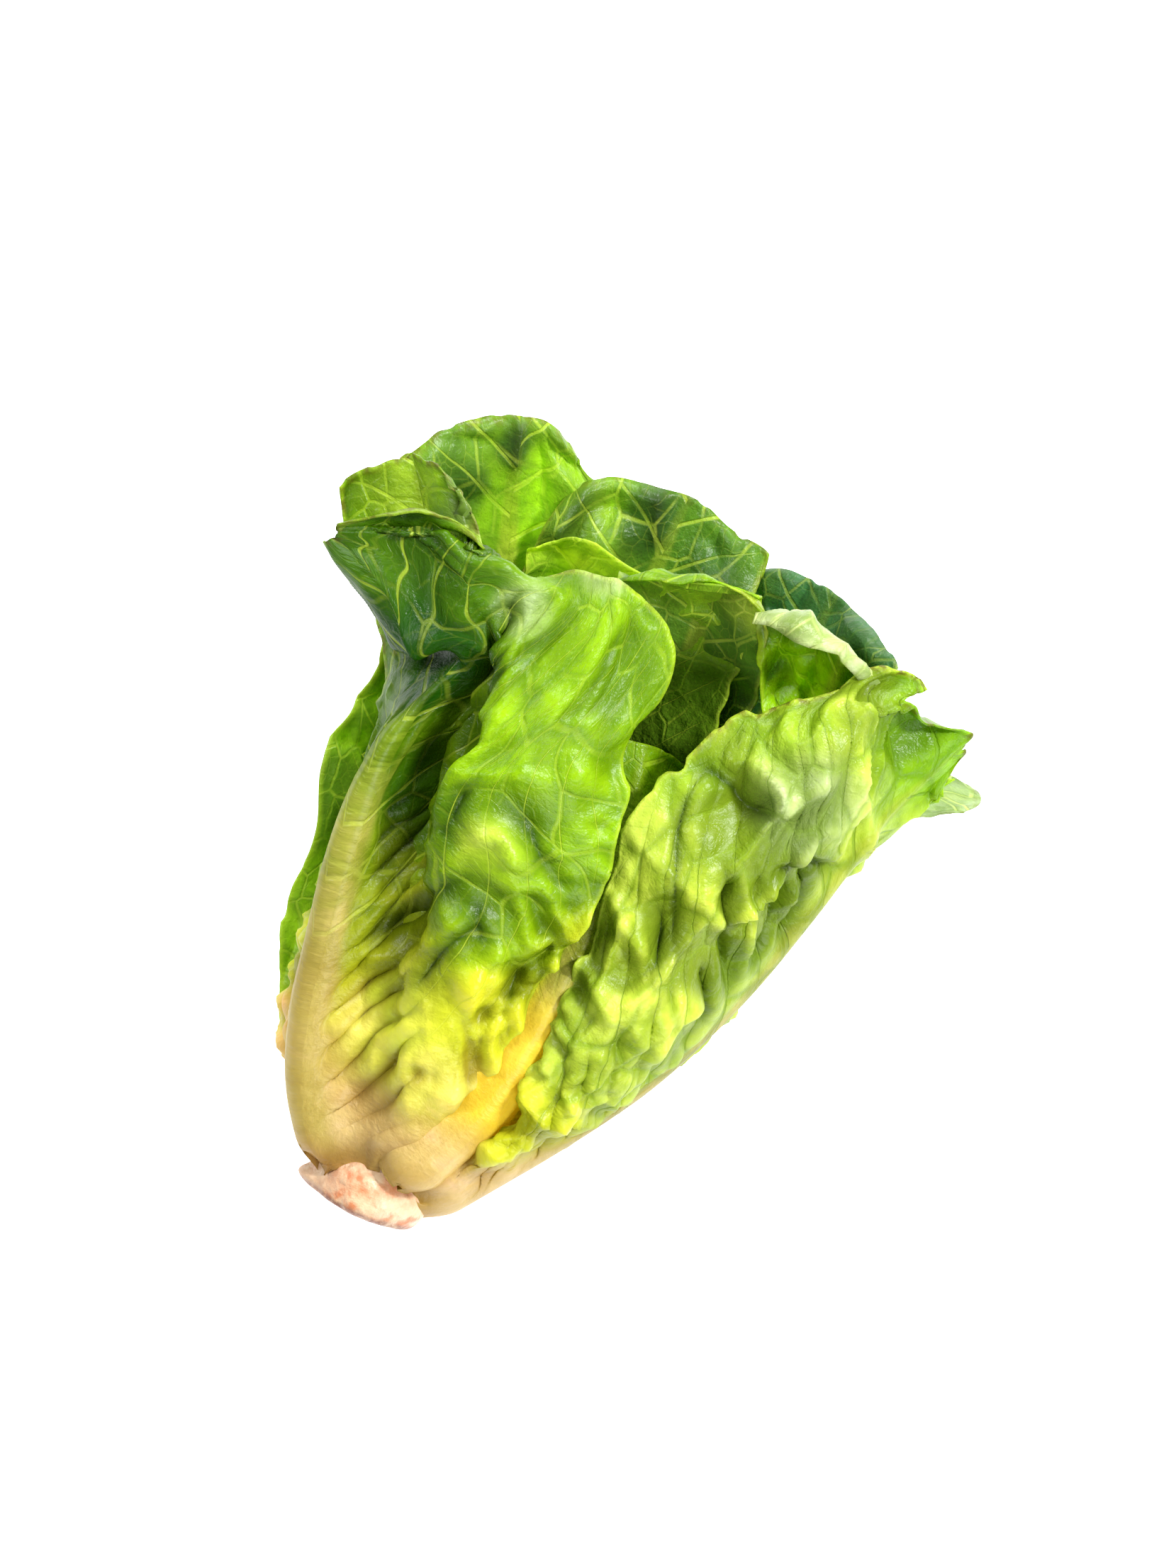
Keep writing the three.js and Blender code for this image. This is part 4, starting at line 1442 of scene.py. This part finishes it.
        right=drawn("""
            -18 8 13, -41 36 12, -54 70 14, -60 101 19, -64 130 27, -67 156 40, -70 178 54;
            -20 8 18, -40 38 22, -51 72 28, -57 104 35, -61 132 44, -64 156 53, -70 179 57;
            -26 10 24, -50 42 26, -59 60 29, -64 86 38, -69 108 45, -71 128 51, -71 144 57, -72 160 61,
            -71 179 59
        """),
        corners=(0.08, 0.08),
        relief=Relief(ruffle=1.2, ruffle_gap=34, blister=1.0, crumple=1.6),
        edge=Edge(wave=0.1, tear=1.0),
        tone=Tone(green=Green.LIME, cream=0.12, yellow=0.2),
    ),
    Leaf(
        name="outer_leaf_lower_left",
        facing=-150,
        layer=1,
        rib=line("-7 8 9, -20 50 6, -30 100 7, -38 145 14, -46 182 36, -55 208 60, -61 225 79"),
        left=RolledHalf((12, 30, 38, 44, 40, 26), (10, 30, 30, 0)),
        right=RolledHalf((12, 30, 40, 46, 43, 38), (10, 40, 40, 10)),
        corners=(0.2, 0.04),
        relief=Relief(crumple=3.2, crease=5.0, crease_gap=26, ruffle=1.4, ruffle_gap=40, cell=14),
        folds=(
            Fold(line("-61 224 78, -59 217 70, -57 211 64"), -4.5, 3.5),
            Fold(line("-53 222 71, -47 213 59, -44 204 49"), 3.0, 4.0),
            Fold(line("-70 211 78, -65 207 74"), 2.4, 4.0),
        ),
        edge=Edge(wave=0.05, tear=1.2, lobe=0.03),
        tone=Tone(green=Green.BRIGHT, browning=0.5, patches=(
            # Painted light on the blade, and painted shade in the hollows of its folds.
            Patch((-38, 204, 62), 28, Green.SUNLIT, 0.45),
            Patch((-58, 216, 72), 9, Green.PAINTED_SHADE, 0.8),
            Patch((-64, 194, 72), 17, Green.PAINTED_SHADE, 0.85),
            Patch((-72, 208, 80), 16, Green.LEAF, 0.5),
        )),
        slot="dark_leaf",
    ),
    Leaf(
        name="outer_leaf_bottom",
        facing=180,
        layer=2,
        rib=line("0 10 11, 0 50 8, -2 100 9, -4 150 17, -6 188 34, -7 214 49, -7 231 58"),
        left=RolledHalf((12, 30, 40, 44, 38, 30), (10, 30, 30, 10)),
        right=RolledHalf((12, 30, 40, 44, 40, 34), (10, 30, 30, 10)),
        corners=(0.03, 0.08),
        relief=Relief(crumple=2.8, crease=4.5, crease_gap=22, ruffle=1.2, ruffle_gap=36, cell=13),
        folds=(
            Fold(line("-35 219 59, -36 208 57, -38 201 53"), -3.5, 4.0),
            Fold(line("-16 228 58, -13 221 54, -10 214 50"), -3.5),
            Fold(line("-26 222 58, -26 213 56, -25 207 55"), 3.0, 4.0),
            Fold(line("2 223 56, 11 216 55"), 2.5, 4.0),
        ),
        edge=Edge(wave=0.05, tear=1.0, lobe=0.02),
        tone=Tone(green=Green.LEAF, browning=0.3, patches=(
            Patch((-34, 206, 56), 26, Green.LIME, 0.9),
            # Painted shade in the hollows of the folds.
            Patch((-14, 218, 54), 13, Green.PAINTED_SHADE, 0.8),
            Patch((10, 206, 56), 20, Green.PAINTED_SHADE, 0.8),
        )),
        slot="dark_leaf",
    ),
    Leaf(
        name="outer_leaf_lower_right",
        facing=145,
        layer=1,
        rib=line("7 8 9, 22 50 6, 33 100 8, 39 150 18, 43 185 40, 45 208 58, 46 225 68"),
        left=RolledHalf((12, 30, 40, 44, 42, 40), (10, 40, 40, 20)),
        right=RolledHalf((12, 30, 40, 44, 40, 32), (10, 30, 40, 20)),
        corners=(0.04, 0.1),
        relief=Relief(
            crumple=2.4, crease=2.4, crease_gap=15, ruffle=1.4, ruffle_gap=36, blister=1.6, cell=10,
        ),
        tone=Tone(green=Green.BLUE, lit=0.5, browning=0.1, patches=(
            Patch((20, 214, 60), 16, Green.LEAF, 0.8),
        )),
        slot="dark_leaf",
    ),
    Leaf(
        name="outer_leaf_far_right",
        facing=125,
        layer=0,
        rib=line("14 14 11, 32 45 6, 47 90 6, 58 128 9, 68 158 14, 86 182 20, 112 195 23"),
        left=RolledHalf((8, 20, 26, 26, 22, 12), (10, 40, 40, 10)),
        right=RolledHalf((8, 20, 26, 26, 22, 12), (0, 20, 10, 0)),
        corners=(0.1, 0.1),
        relief=Relief(crumple=1.6),
        edge=Edge(wave=0.04, tear=0.6, lobe=0.0),
        tone=Tone(green=Green.BLUE, browning=0.3, patches=(
            Patch((104, 194, 22), 30, Green.SILVER, 0.6),
        )),
        slot="dark_leaf",
    ),
    Leaf(
        name="middle_leaf_upper_left",
        facing=-66,
        layer=1,
        rib=line("-12 16 31, -28 50 46, -35 88 61, -39 122 75, -47 150 90, -61 174 104, -78 194 112"),
        left=drawn("""
            -16 18 26, -36 52 38, -45 90 50, -49 122 64, -58 146 84, -71 165 99, -86 186 110;
            -20 20 22, -42 54 30, -50 92 42, -54 122 56, -64 144 78, -79 158 97, -91 175 109
        """),
        right=drawn("""
            -6 18 34, -16 50 54, -20 86 72, -20 120 86, -26 150 99, -50 175 112, -70 193 117;
            2 20 34, -4 50 54, -4 86 70, -2 120 82, -8 150 93, -38 171 108, -62 186 117
        """),
        corners=(0.0, 0.0),
        relief=Relief(crumple=1.2, crease=0.4, blister=1.0, cell=12, ruffle=0.6),
        edge=Edge(wave=0.04, tear=1.0, lobe=0.02),
        tone=Tone(green=Green.BRIGHT, browning=0.6, patches=(
            # Painted light where light shines through the blade.
            Patch((-24, 178, 108), 34, Green.SUNLIT),
            Patch((-50, 184, 114), 14, Green.SILVER, 0.5),
            Patch((-76, 178, 112), 18, Green.PALE, 0.6),
        )),
    ),
    Leaf(
        name="middle_leaf_left",
        facing=-96,
        layer=1,
        rib=line("-15 14 24, -38 50 30, -49 95 38, -54 130 48, -57 158 62, -58 180 78"),
        left=RolledHalf((10, 24, 30, 32, 28), (30, 60, 60, 40)),
        right=RolledHalf((10, 24, 32, 34, 28), (30, 50, 40, 30)),
        tone=Tone(green=Green.LEAF, browning=0.1, patches=(
            Patch((-54, 110, 56), 40, Green.BLUE, 0.7),
        )),
        slot="dark_leaf",
    ),
    Leaf(
        name="middle_leaf_top",
        facing=34,
        layer=1,
        rib=line("8 12 42, 16 27 49, 22 44 55, 25 68 62, 26 100 69, 22 130 74, 16 156 78"),
        left=RolledHalf((10, 28, 36, 38, 30), (50, 80, 90, 70)),
        right=RolledHalf((10, 26, 36, 38, 30), (50, 80, 90, 70)),
        relief=Relief(frill=1.5, pleat=1.2),
        tone=Tone(green=Green.LIME, cream=0.4, yellow=0.25, patches=(
            Patch((16, 34, 52), 64, Green.YOLK, 0.8, over_rib=True),
            Patch((9, 12, 44), 34, Green.SAND, 0.85, over_rib=True),
            Patch((26, 62, 60), 16, Green.YELLOW, 0.7),
        )),
        rib_half_width=9,
    ),
    Leaf(
        name="middle_leaf_right",
        facing=118,
        layer=1,
        rib=line("""
            12 16 22, 31 55 24, 45 95 31, 54 135 42, 57 165 54, 58 186 66, 57 196 80, 56 202 92,
            55 200 99, 54 194 100
        """),
        left=drawn("""
            10 18 26, 30 55 33, 42 95 43, 49 135 53, 50 163 61, 49 182 69, 47 195 81, 46 202 93,
            45 200 100, 44 193 101;
            9 19 29, 28 55 37, 39 95 48, 46 135 57, 48 162 63, 45 181 71, 40 193 81, 37 201 93,
            36 199 99, 35 193 100;
            8 20 31, 26 55 41, 36 95 52, 43 135 60, 45 160 66, 41 177 73, 34 188 82, 29 196 92,
            28 195 96, 28 191 97
        """),
        right=drawn("""
            14 14 18, 33 55 15, 48 95 21, 57 135 31, 62 165 44, 64 186 58, 65 195 70, 66 199 80,
            66 197 86, 65 192 88;
            13 12 14, 32 55 8, 46 95 12, 56 135 22, 64 165 34, 69 185 48, 72 190 56, 73 193 66,
            73 192 71, 72 188 73
        """),
        relief=Relief(blister=2.4, cell=9, crumple=2.0, crease=1.5, ruffle=1.2),
        edge=Edge(wave=0.05, tear=1.0, lobe=0.02),
        tone=Tone(green=Green.BRIGHT, patches=(
            Patch((47, 200, 99), 14, Green.SILVER),
            Patch((62, 197, 94), 14, Green.SILVER),
            Patch((32, 198, 97), 12, Green.SILVER),
            # Painted light inside the hollow.
            Patch((44, 182, 74), 26, Green.SUNLIT, 0.55),
        )),
    ),
    Leaf(
        name="middle_leaf_lower_right",
        facing=160,
        layer=3,
        rib=line("""
            5 18 17, 12 60 17, 17 105 22, 20 145 36, 18 172 54, 15 190 74, 12 200 90, 11 200 98,
            11 194 100
        """),
        left=drawn("""
            8 17 17, 20 60 18, 29 105 24, 32 145 38, 31 172 56, 28 190 76, 24 201 90, 23 200 97,
            22 195 98;
            11 18 18, 28 60 24, 40 105 34, 43 145 48, 42 170 64, 38 188 80, 33 198 90, 31 197 95,
            30 193 96
        """),
        right=drawn("""
            2 17 17, 4 60 18, 5 105 24, 6 145 38, 5 170 56, 2 186 76, 0 195 92, -1 195 100, -1 190 102;
            -1 18 18, -4 60 24, -6 105 32, -6 145 48, -7 168 64, -9 182 82, -11 188 95, -12 186 101,
            -12 182 102
        """),
        relief=Relief(ruffle=2.0, ruffle_gap=24, crumple=1.6),
        edge=Edge(wave=0.05, tear=0.6, lobe=0.03),
        tone=Tone(green=Green.LEAF, patches=(
            Patch((8, 198, 100), 22, Green.LIME),
            Patch((28, 198, 94), 14, Green.PALE),
        )),
    ),
    Leaf(
        name="middle_leaf_lower_left",
        facing=-160,
        layer=3,
        rib=line("-5 18 16, -14 60 15, -20 105 20, -24 145 32, -25 174 52, -24 190 76, -21 197 93"),
        left=drawn("""
            0 18 16, -4 60 15, -6 105 20, -8 145 32, -8 174 52, -8 190 76, -8 195 93;
            4 18 17, 6 60 17, 8 105 22, 8 145 36, 8 176 56, 7 193 80, 6 197 92, 6 197 97, 6 192 98;
            8 19 18, 16 60 21, 22 105 28, 24 145 44, 24 178 64, 22 198 82, 20 202 91, 19 202 96,
            18 197 97;
            11 20 20, 24 60 26, 32 105 36, 35 145 52, 35 178 70, 32 198 84, 30 203 90, 29 203 94,
            29 199 95
        """),
        right=drawn("""
            -8 18 17, -22 60 17, -30 105 24, -34 145 38, -34 172 56, -33 188 76, -30 194 93;
            -11 18 18, -28 60 22, -38 105 32, -41 145 46, -41 168 62, -39 182 78, -36 189 92
        """),
        relief=Relief(ruffle=1.8, ruffle_gap=20, crumple=1.0, crease=0.6),
        tone=Tone(green=Green.LIME, yellow=0.5, patches=(
            # Painted light near the tip.
            Patch((-16, 192, 92), 40, Green.SUNLIT, 0.9),
            Patch((-22, 193, 92), 24, Green.PRIMROSE, 0.6),
        )),
    ),
)


@dataclass(frozen=True)
class Heart:
    """The young leaves round the growing point, set at the golden angle, each smaller than the last.

    Attributes:
        leaves: How many.
        layer: Which layer they count as.
        first_facing: The way the first one's back faces, in degrees.
        golden_angle: Between one leaf and the next, in degrees.
        radius: How far the first one stands from the axis, in millimetres.
        shrink: How much nearer each next one stands.
        start: Where the first one starts along the axis.
        reach: How far along the axis it reaches.
        fall: How much less each next one reaches.
        spread: Shares of the radius along a rib, from base to tip.
        widths: Half widths from base to tip, as shares of the radius.
    """

    leaves: int = 6
    layer: int = 4
    first_facing: float = 70.0
    golden_angle: float = 137.5
    radius: float = 27.0
    shrink: float = 3.4
    reach: float = 168.0
    fall: float = 7.0
    start: float = 26.0
    spread: tuple[float, ...] = (0.3, 0.75, 1, 1, 0.8, 0.45)
    widths: tuple[float, ...] = (0.3, 0.8, 1.15, 1.3, 1.1, 0.8)

    def leaf(self, i: int) -> Leaf:
        """Returns one leaf of the heart."""
        facing = self.first_facing + i * self.golden_angle
        radius = self.radius - i * self.shrink
        reach = self.reach - i * self.fall
        angle = math.radians(facing)
        rib = []
        for k, share in enumerate(self.spread):
            t = k / (len(self.spread) - 1)
            rib.append((
                -8 * t + radius * share * math.sin(angle),
                self.start + 2 * i + (reach - self.start) * t,
                27 + 42 * t + radius * share * math.cos(angle),
            ))
        half = RolledHalf(tuple(share * radius for share in self.widths), (50, 80, 90, 80))
        return Leaf(
            name=f"heart_leaf_{i + 1}",
            facing=facing,
            layer=self.layer,
            rib=tuple(rib),
            left=half,
            right=half,
            corners=(0.14, 0.14),
            relief=Relief(blister=1.4, crumple=1.0, crease=1.0),
            tone=Tone(green=Green.LEAF if i % 2 else Green.BRIGHT, cream=0.3, yellow=0.3),
            slot="heart_leaf",
            grid=HIDDEN_GRID,
            rib_thickness=4.0,
            rib_half_width=6.0,
        )


# ---------------------------------------------------------------- the stem

# Places round the stem.
TURNED_STEPS = 120


@dataclass
class Stem:
    """The cut stem, with the torn stubs of leaves that have been pulled off it.

    Attributes:
        radius: Where it is widest, in millimetres.
        length: From the cut face to the growing point; not used.
        tilt: How far its axis rises, in degrees.
        height: Of its axis over the surface at the cut face.
        profile: Places from the middle of the cut face to the growing point, as shares of the radius:
            out from the axis and along it.
        stubs: The torn stubs: where each stands round the axis, in radians, and how far out, as a share.
    """

    radius: float = 20.0
    length: float = 62.0
    tilt: float = 11.0
    height: float = 23.0
    profile: tuple[tuple[float, float], ...] = (
        (0.0, 0.0), (0.4, 0.0), (0.82, 0.0), (0.95, 0.12), (1.0, 0.4), (0.8, 0.93), (0.45, 2.0), (0.15, 3.1)
    )
    stubs: tuple[tuple[float, float], ...] = ((2.8, 0.22), (1.5, 0.12), (-2.6, 0.10))

    def build(self, offset: np.ndarray) -> bpy.types.Object:
        """Makes the stem.

        Args:
            offset: Moves the drawn head over the row's origin, in millimetres.

        Returns:
            The new object.
        """
        shaper = bmesh.new()
        spots = catmull_rom(np.array([(r, y, 0) for r, y in self.profile], float), np.linspace(0, 1, 60))
        verts = [shaper.verts.new((r * self.radius, y * self.radius, 0)) for r, y, _ in spots]
        verts[-1].co.x = 0.0
        edges = [shaper.edges.new(pair) for pair in zip(verts, verts[1:])]
        bmesh.ops.spin(
            shaper,
            geom=verts + edges,
            cent=(0, 0, 0),
            axis=(0, 1, 0),
            angle=2 * math.pi,
            steps=TURNED_STEPS,
            use_merge=True,
        )
        bmesh.ops.remove_doubles(shaper, verts=shaper.verts, dist=1e-4)
        bmesh.ops.recalc_face_normals(shaper, faces=shaper.faces)
        angle = math.radians(self.tilt)
        rest = []
        for vert in shaper.verts:
            around = math.atan2(vert.co.z, vert.co.x)
            x, y, z = self.lump(around, *vert.co)
            rest.append((vert.co.y, math.hypot(vert.co.x, vert.co.z) / self.radius))
            forward = y * math.cos(angle) - z * math.sin(angle)
            up = y * math.sin(angle) + z * math.cos(angle) + self.height
            vert.co = Vector((x, forward, up))
            vert.co = (vert.co + Vector(offset)) * MM
        piece = new_object("stem_body", shaper)
        mesh = piece.data
        depth, share = np.array(rest).T
        write_value(mesh, "depth", depth)
        write_value(mesh, "rim", smooth_step(0.74, 0.82, share) * smooth_step(3.0, 1.2, depth))
        mesh.materials.append(stem_material())
        return piece

    def lump(self, around: float, x: float, y: float, z: float) -> tuple[float, float, float]:
        """Makes one point of the turned stem uneven: out of round, ringed by scars and cut a little askew.

        Args:
            around: Where the point is round the axis, in radians.
            x: Its place before, in millimetres.
            y: The same, along the axis.
            z: The same, upwards.

        Returns:
            Its new place.
        """
        wave = float(Ripple(17, 0.55).at(np.array(3 + math.cos(around)), np.array(3 + math.sin(around))))
        small = float(Ripple(18, 3.0).at(np.array(around * self.radius), np.array(y)))
        stub = sum(
            math.exp(-(((around - at) / 0.28) ** 2) - ((y - 3.0) / 2.6) ** 2) * size
            for at, size in self.stubs
        )
        scar = math.sin(y / 2.1 + 1.3 * math.sin(around * 2) + wave)
        grow = 1 - 0.05 * (1 - wave) - 0.012 * (1 - small) - 0.014 * (1 + scar) * min(y / 3, 1) + stub
        slant = 0.9 * math.cos(around + 0.6) * math.hypot(x, z) / self.radius * max(0, 1 - y / 8)
        return x * grow, max(y + slant, 0.0), z * grow


class StemColour(Enum):
    """The colours of the cut stem."""

    FLESH = (0.54, 0.39, 0.24)
    PINK = (0.44, 0.17, 0.065)
    STAIN = (0.38, 0.09, 0.015)
    PALE = (0.56, 0.42, 0.27)
    RIM = (0.16, 0.045, 0.012)


def stem_material() -> bpy.types.Material:
    """Returns the moist, stained tissue of the cut stem."""
    material, n = new_material("cut_stem")
    where = n.add("ShaderNodeTexCoord").outputs["Object"]
    depth = n.attribute("depth")
    patches = n.noise(where, 75.0, 4.0, 0.6)
    fine = n.noise(where, 420.0, 3.0, 0.6)
    pink = n.times(n.ramp(patches, 0.36, 0.60), n.ramp(depth, 2.0, 12.0, 0.35, 1.0))
    colour = n.mix(pink, StemColour.FLESH.value, StemColour.PINK.value)
    stains = n.times(n.ramp(n.noise(where, 130.0, 4.0), 0.56, 0.70), 0.8)
    colour = n.mix(stains, colour, StemColour.STAIN.value)
    colour = n.mix(n.ramp(fine, 0.45, 0.8, 0.0, 0.4), colour, StemColour.PALE.value)
    rim = n.times(n.attribute("rim"), n.ramp(fine, 0.3, 0.6, 0.4, 1.0))
    colour = n.mix(rim, colour, StemColour.RIM.value)
    bump = n.bump(n.math("ADD", fine, n.times(n.noise(where, 180.0), 2.0)), 0.8 * MM)
    rough = n.ramp(patches, 0.3, 0.7, 0.35, 0.6)
    skin = n.add("ShaderNodeBsdfPrincipled", {"Base Color": colour, "Roughness": rough, "Normal": bump})
    n.add("ShaderNodeOutputMaterial", {"Surface": skin.outputs[0]})
    return material


# ---------------------------------------------------------------- the head


class Head:
    """The whole head of lettuce."""

    def __init__(self) -> None:
        """Finds where the drawn head lies in the row's frame."""
        low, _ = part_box("stem")
        self.offset = np.array(low) / MM - np.array(STEM_DRAWN_CORNER)

    def dress(self, leaf: Leaf) -> bpy.types.Object:
        """Builds one leaf and gives it its two skins.

        Args:
            leaf: Its description.

        Returns:
            The finished piece.
        """
        piece = leaf.build(self.offset)
        mesh = piece.data
        for finish in (FACE, BACK):
            mesh.materials.append(leaf_material(finish, leaf.relief.cell))
        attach(piece, "root")
        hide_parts(leaf.name)
        log.info("%s: %d rows, %d columns", leaf.name, leaf.grid.rows, leaf.grid.columns)
        return piece

    def build(self) -> None:
        """Builds the stem and every leaf."""
        stem = Stem().build(self.offset)
        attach(stem, "root")
        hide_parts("stem")
        heart = Heart()
        for leaf in (*LEAVES, *(heart.leaf(i) for i in range(heart.leaves))):
            self.dress(leaf)


# ---------------------------------------------------------------- the stage

# The lamps: their places along the camera's right, up and back ways and widths, in metres, and their watts.
LAMPS = (
    ("key", (0.6, 0.25, 0.7), 0.14, 14.0),
    ("back", (0.1, 0.95, 0.45), 0.4, 13.0),
    ("front", (0.4, -0.6, 0.8), 0.5, 9.0),
    ("fill", (-0.55, 0.35, 0.75), 0.22, 6.0),
)
WORLD_STRENGTH = 0.32


@dataclass(frozen=True)
class Studio:
    """A white surface under soft light, seen from almost straight above.

    Attributes:
        azimuth: Turn of the camera, in degrees.
        elevation: Height of the camera, in degrees.
        distance: From the camera to what it looks at, in metres.
        lens: Focal length, in millimetres.
        target: What it looks at, in millimetres on the drawn head.
    """

    azimuth: float = 27.0
    elevation: float = 80.0
    distance: float = 0.773
    lens: float = 60.0
    target: Point = (5.0, 140.0, 50.0)

    def look(self) -> tuple[Vector, Vector, Vector]:
        """Returns the camera's right, up and back ways."""
        turn, rise = math.radians(self.azimuth), math.radians(self.elevation)
        right = Vector((math.cos(turn), math.sin(turn), 0))
        back = Vector((math.sin(turn) * math.cos(rise), -math.cos(turn) * math.cos(rise), math.sin(rise)))
        return right, back.cross(right), back

    def build(self, offset: np.ndarray) -> None:
        """Makes the camera, the surface and the lights.

        Args:
            offset: Moves the drawn head over the row's origin, in millimetres.
        """
        scene = bpy.context.scene
        scene.view_settings.view_transform = "Standard"
        right, up, back = self.look()
        target = Vector(np.array(self.target) + offset) * MM
        lens = bpy.data.cameras.new("camera")
        lens.lens = self.lens
        lens.sensor_width = 36.0
        camera = bpy.data.objects.new("camera", lens)
        camera.location = target + back * self.distance
        camera.rotation_euler = Matrix((right, up, back)).transposed().to_euler()
        scene.collection.objects.link(camera)
        scene.camera = camera
        self.surface()
        for name, way, size, power in LAMPS:
            place = target + right * way[0] + up * way[1] + back * way[2]
            self.light(name, place, target, size, power)
        world = bpy.data.worlds.new("studio")
        world.use_nodes = True
        sky = world.node_tree.nodes["Background"].inputs
        sky["Color"].default_value = (1.0, 1.0, 1.0, 1.0)
        sky["Strength"].default_value = WORLD_STRENGTH
        scene.world = world

    def surface(self) -> None:
        """Makes the plain pale surface."""
        shaper = bmesh.new()
        bmesh.ops.create_grid(shaper, x_segments=1, y_segments=1, size=2.0)
        floor = new_object("surface", shaper)
        material, n = new_material("white_card")
        skin = n.add("ShaderNodeBsdfPrincipled", {
            "Base Color": (0.93, 0.93, 0.94), "Roughness": 0.9, "Specular IOR Level": 0.1,
            "Emission Color": (0.96, 0.97, 1.0), "Emission Strength": 0.6,
        })
        n.add("ShaderNodeOutputMaterial", {"Surface": skin.outputs[0]})
        floor.data.materials.append(material)

    def light(self, name: str, place: Vector, target: Vector, size: float, power: float) -> None:
        """Adds a soft light.

        Args:
            name: What it is called.
            place: Where it is.
            target: What it points at.
            size: Width of the light, in metres.
            power: In watts.
        """
        lamp = bpy.data.lights.new(name, "AREA")
        lamp.size = size
        lamp.energy = power
        holder = bpy.data.objects.new(name, lamp)
        holder.location = place
        holder.rotation_euler = (place - target).to_track_quat("Z", "Y").to_euler()
        bpy.context.scene.collection.objects.link(holder)


def main() -> None:
    """Builds the stage and the head."""
    logging.basicConfig(level=logging.INFO, format="%(message)s")
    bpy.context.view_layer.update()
    head = Head()
    Studio().build(head.offset)
    head.build()


if __name__ == "__main__":
    main()
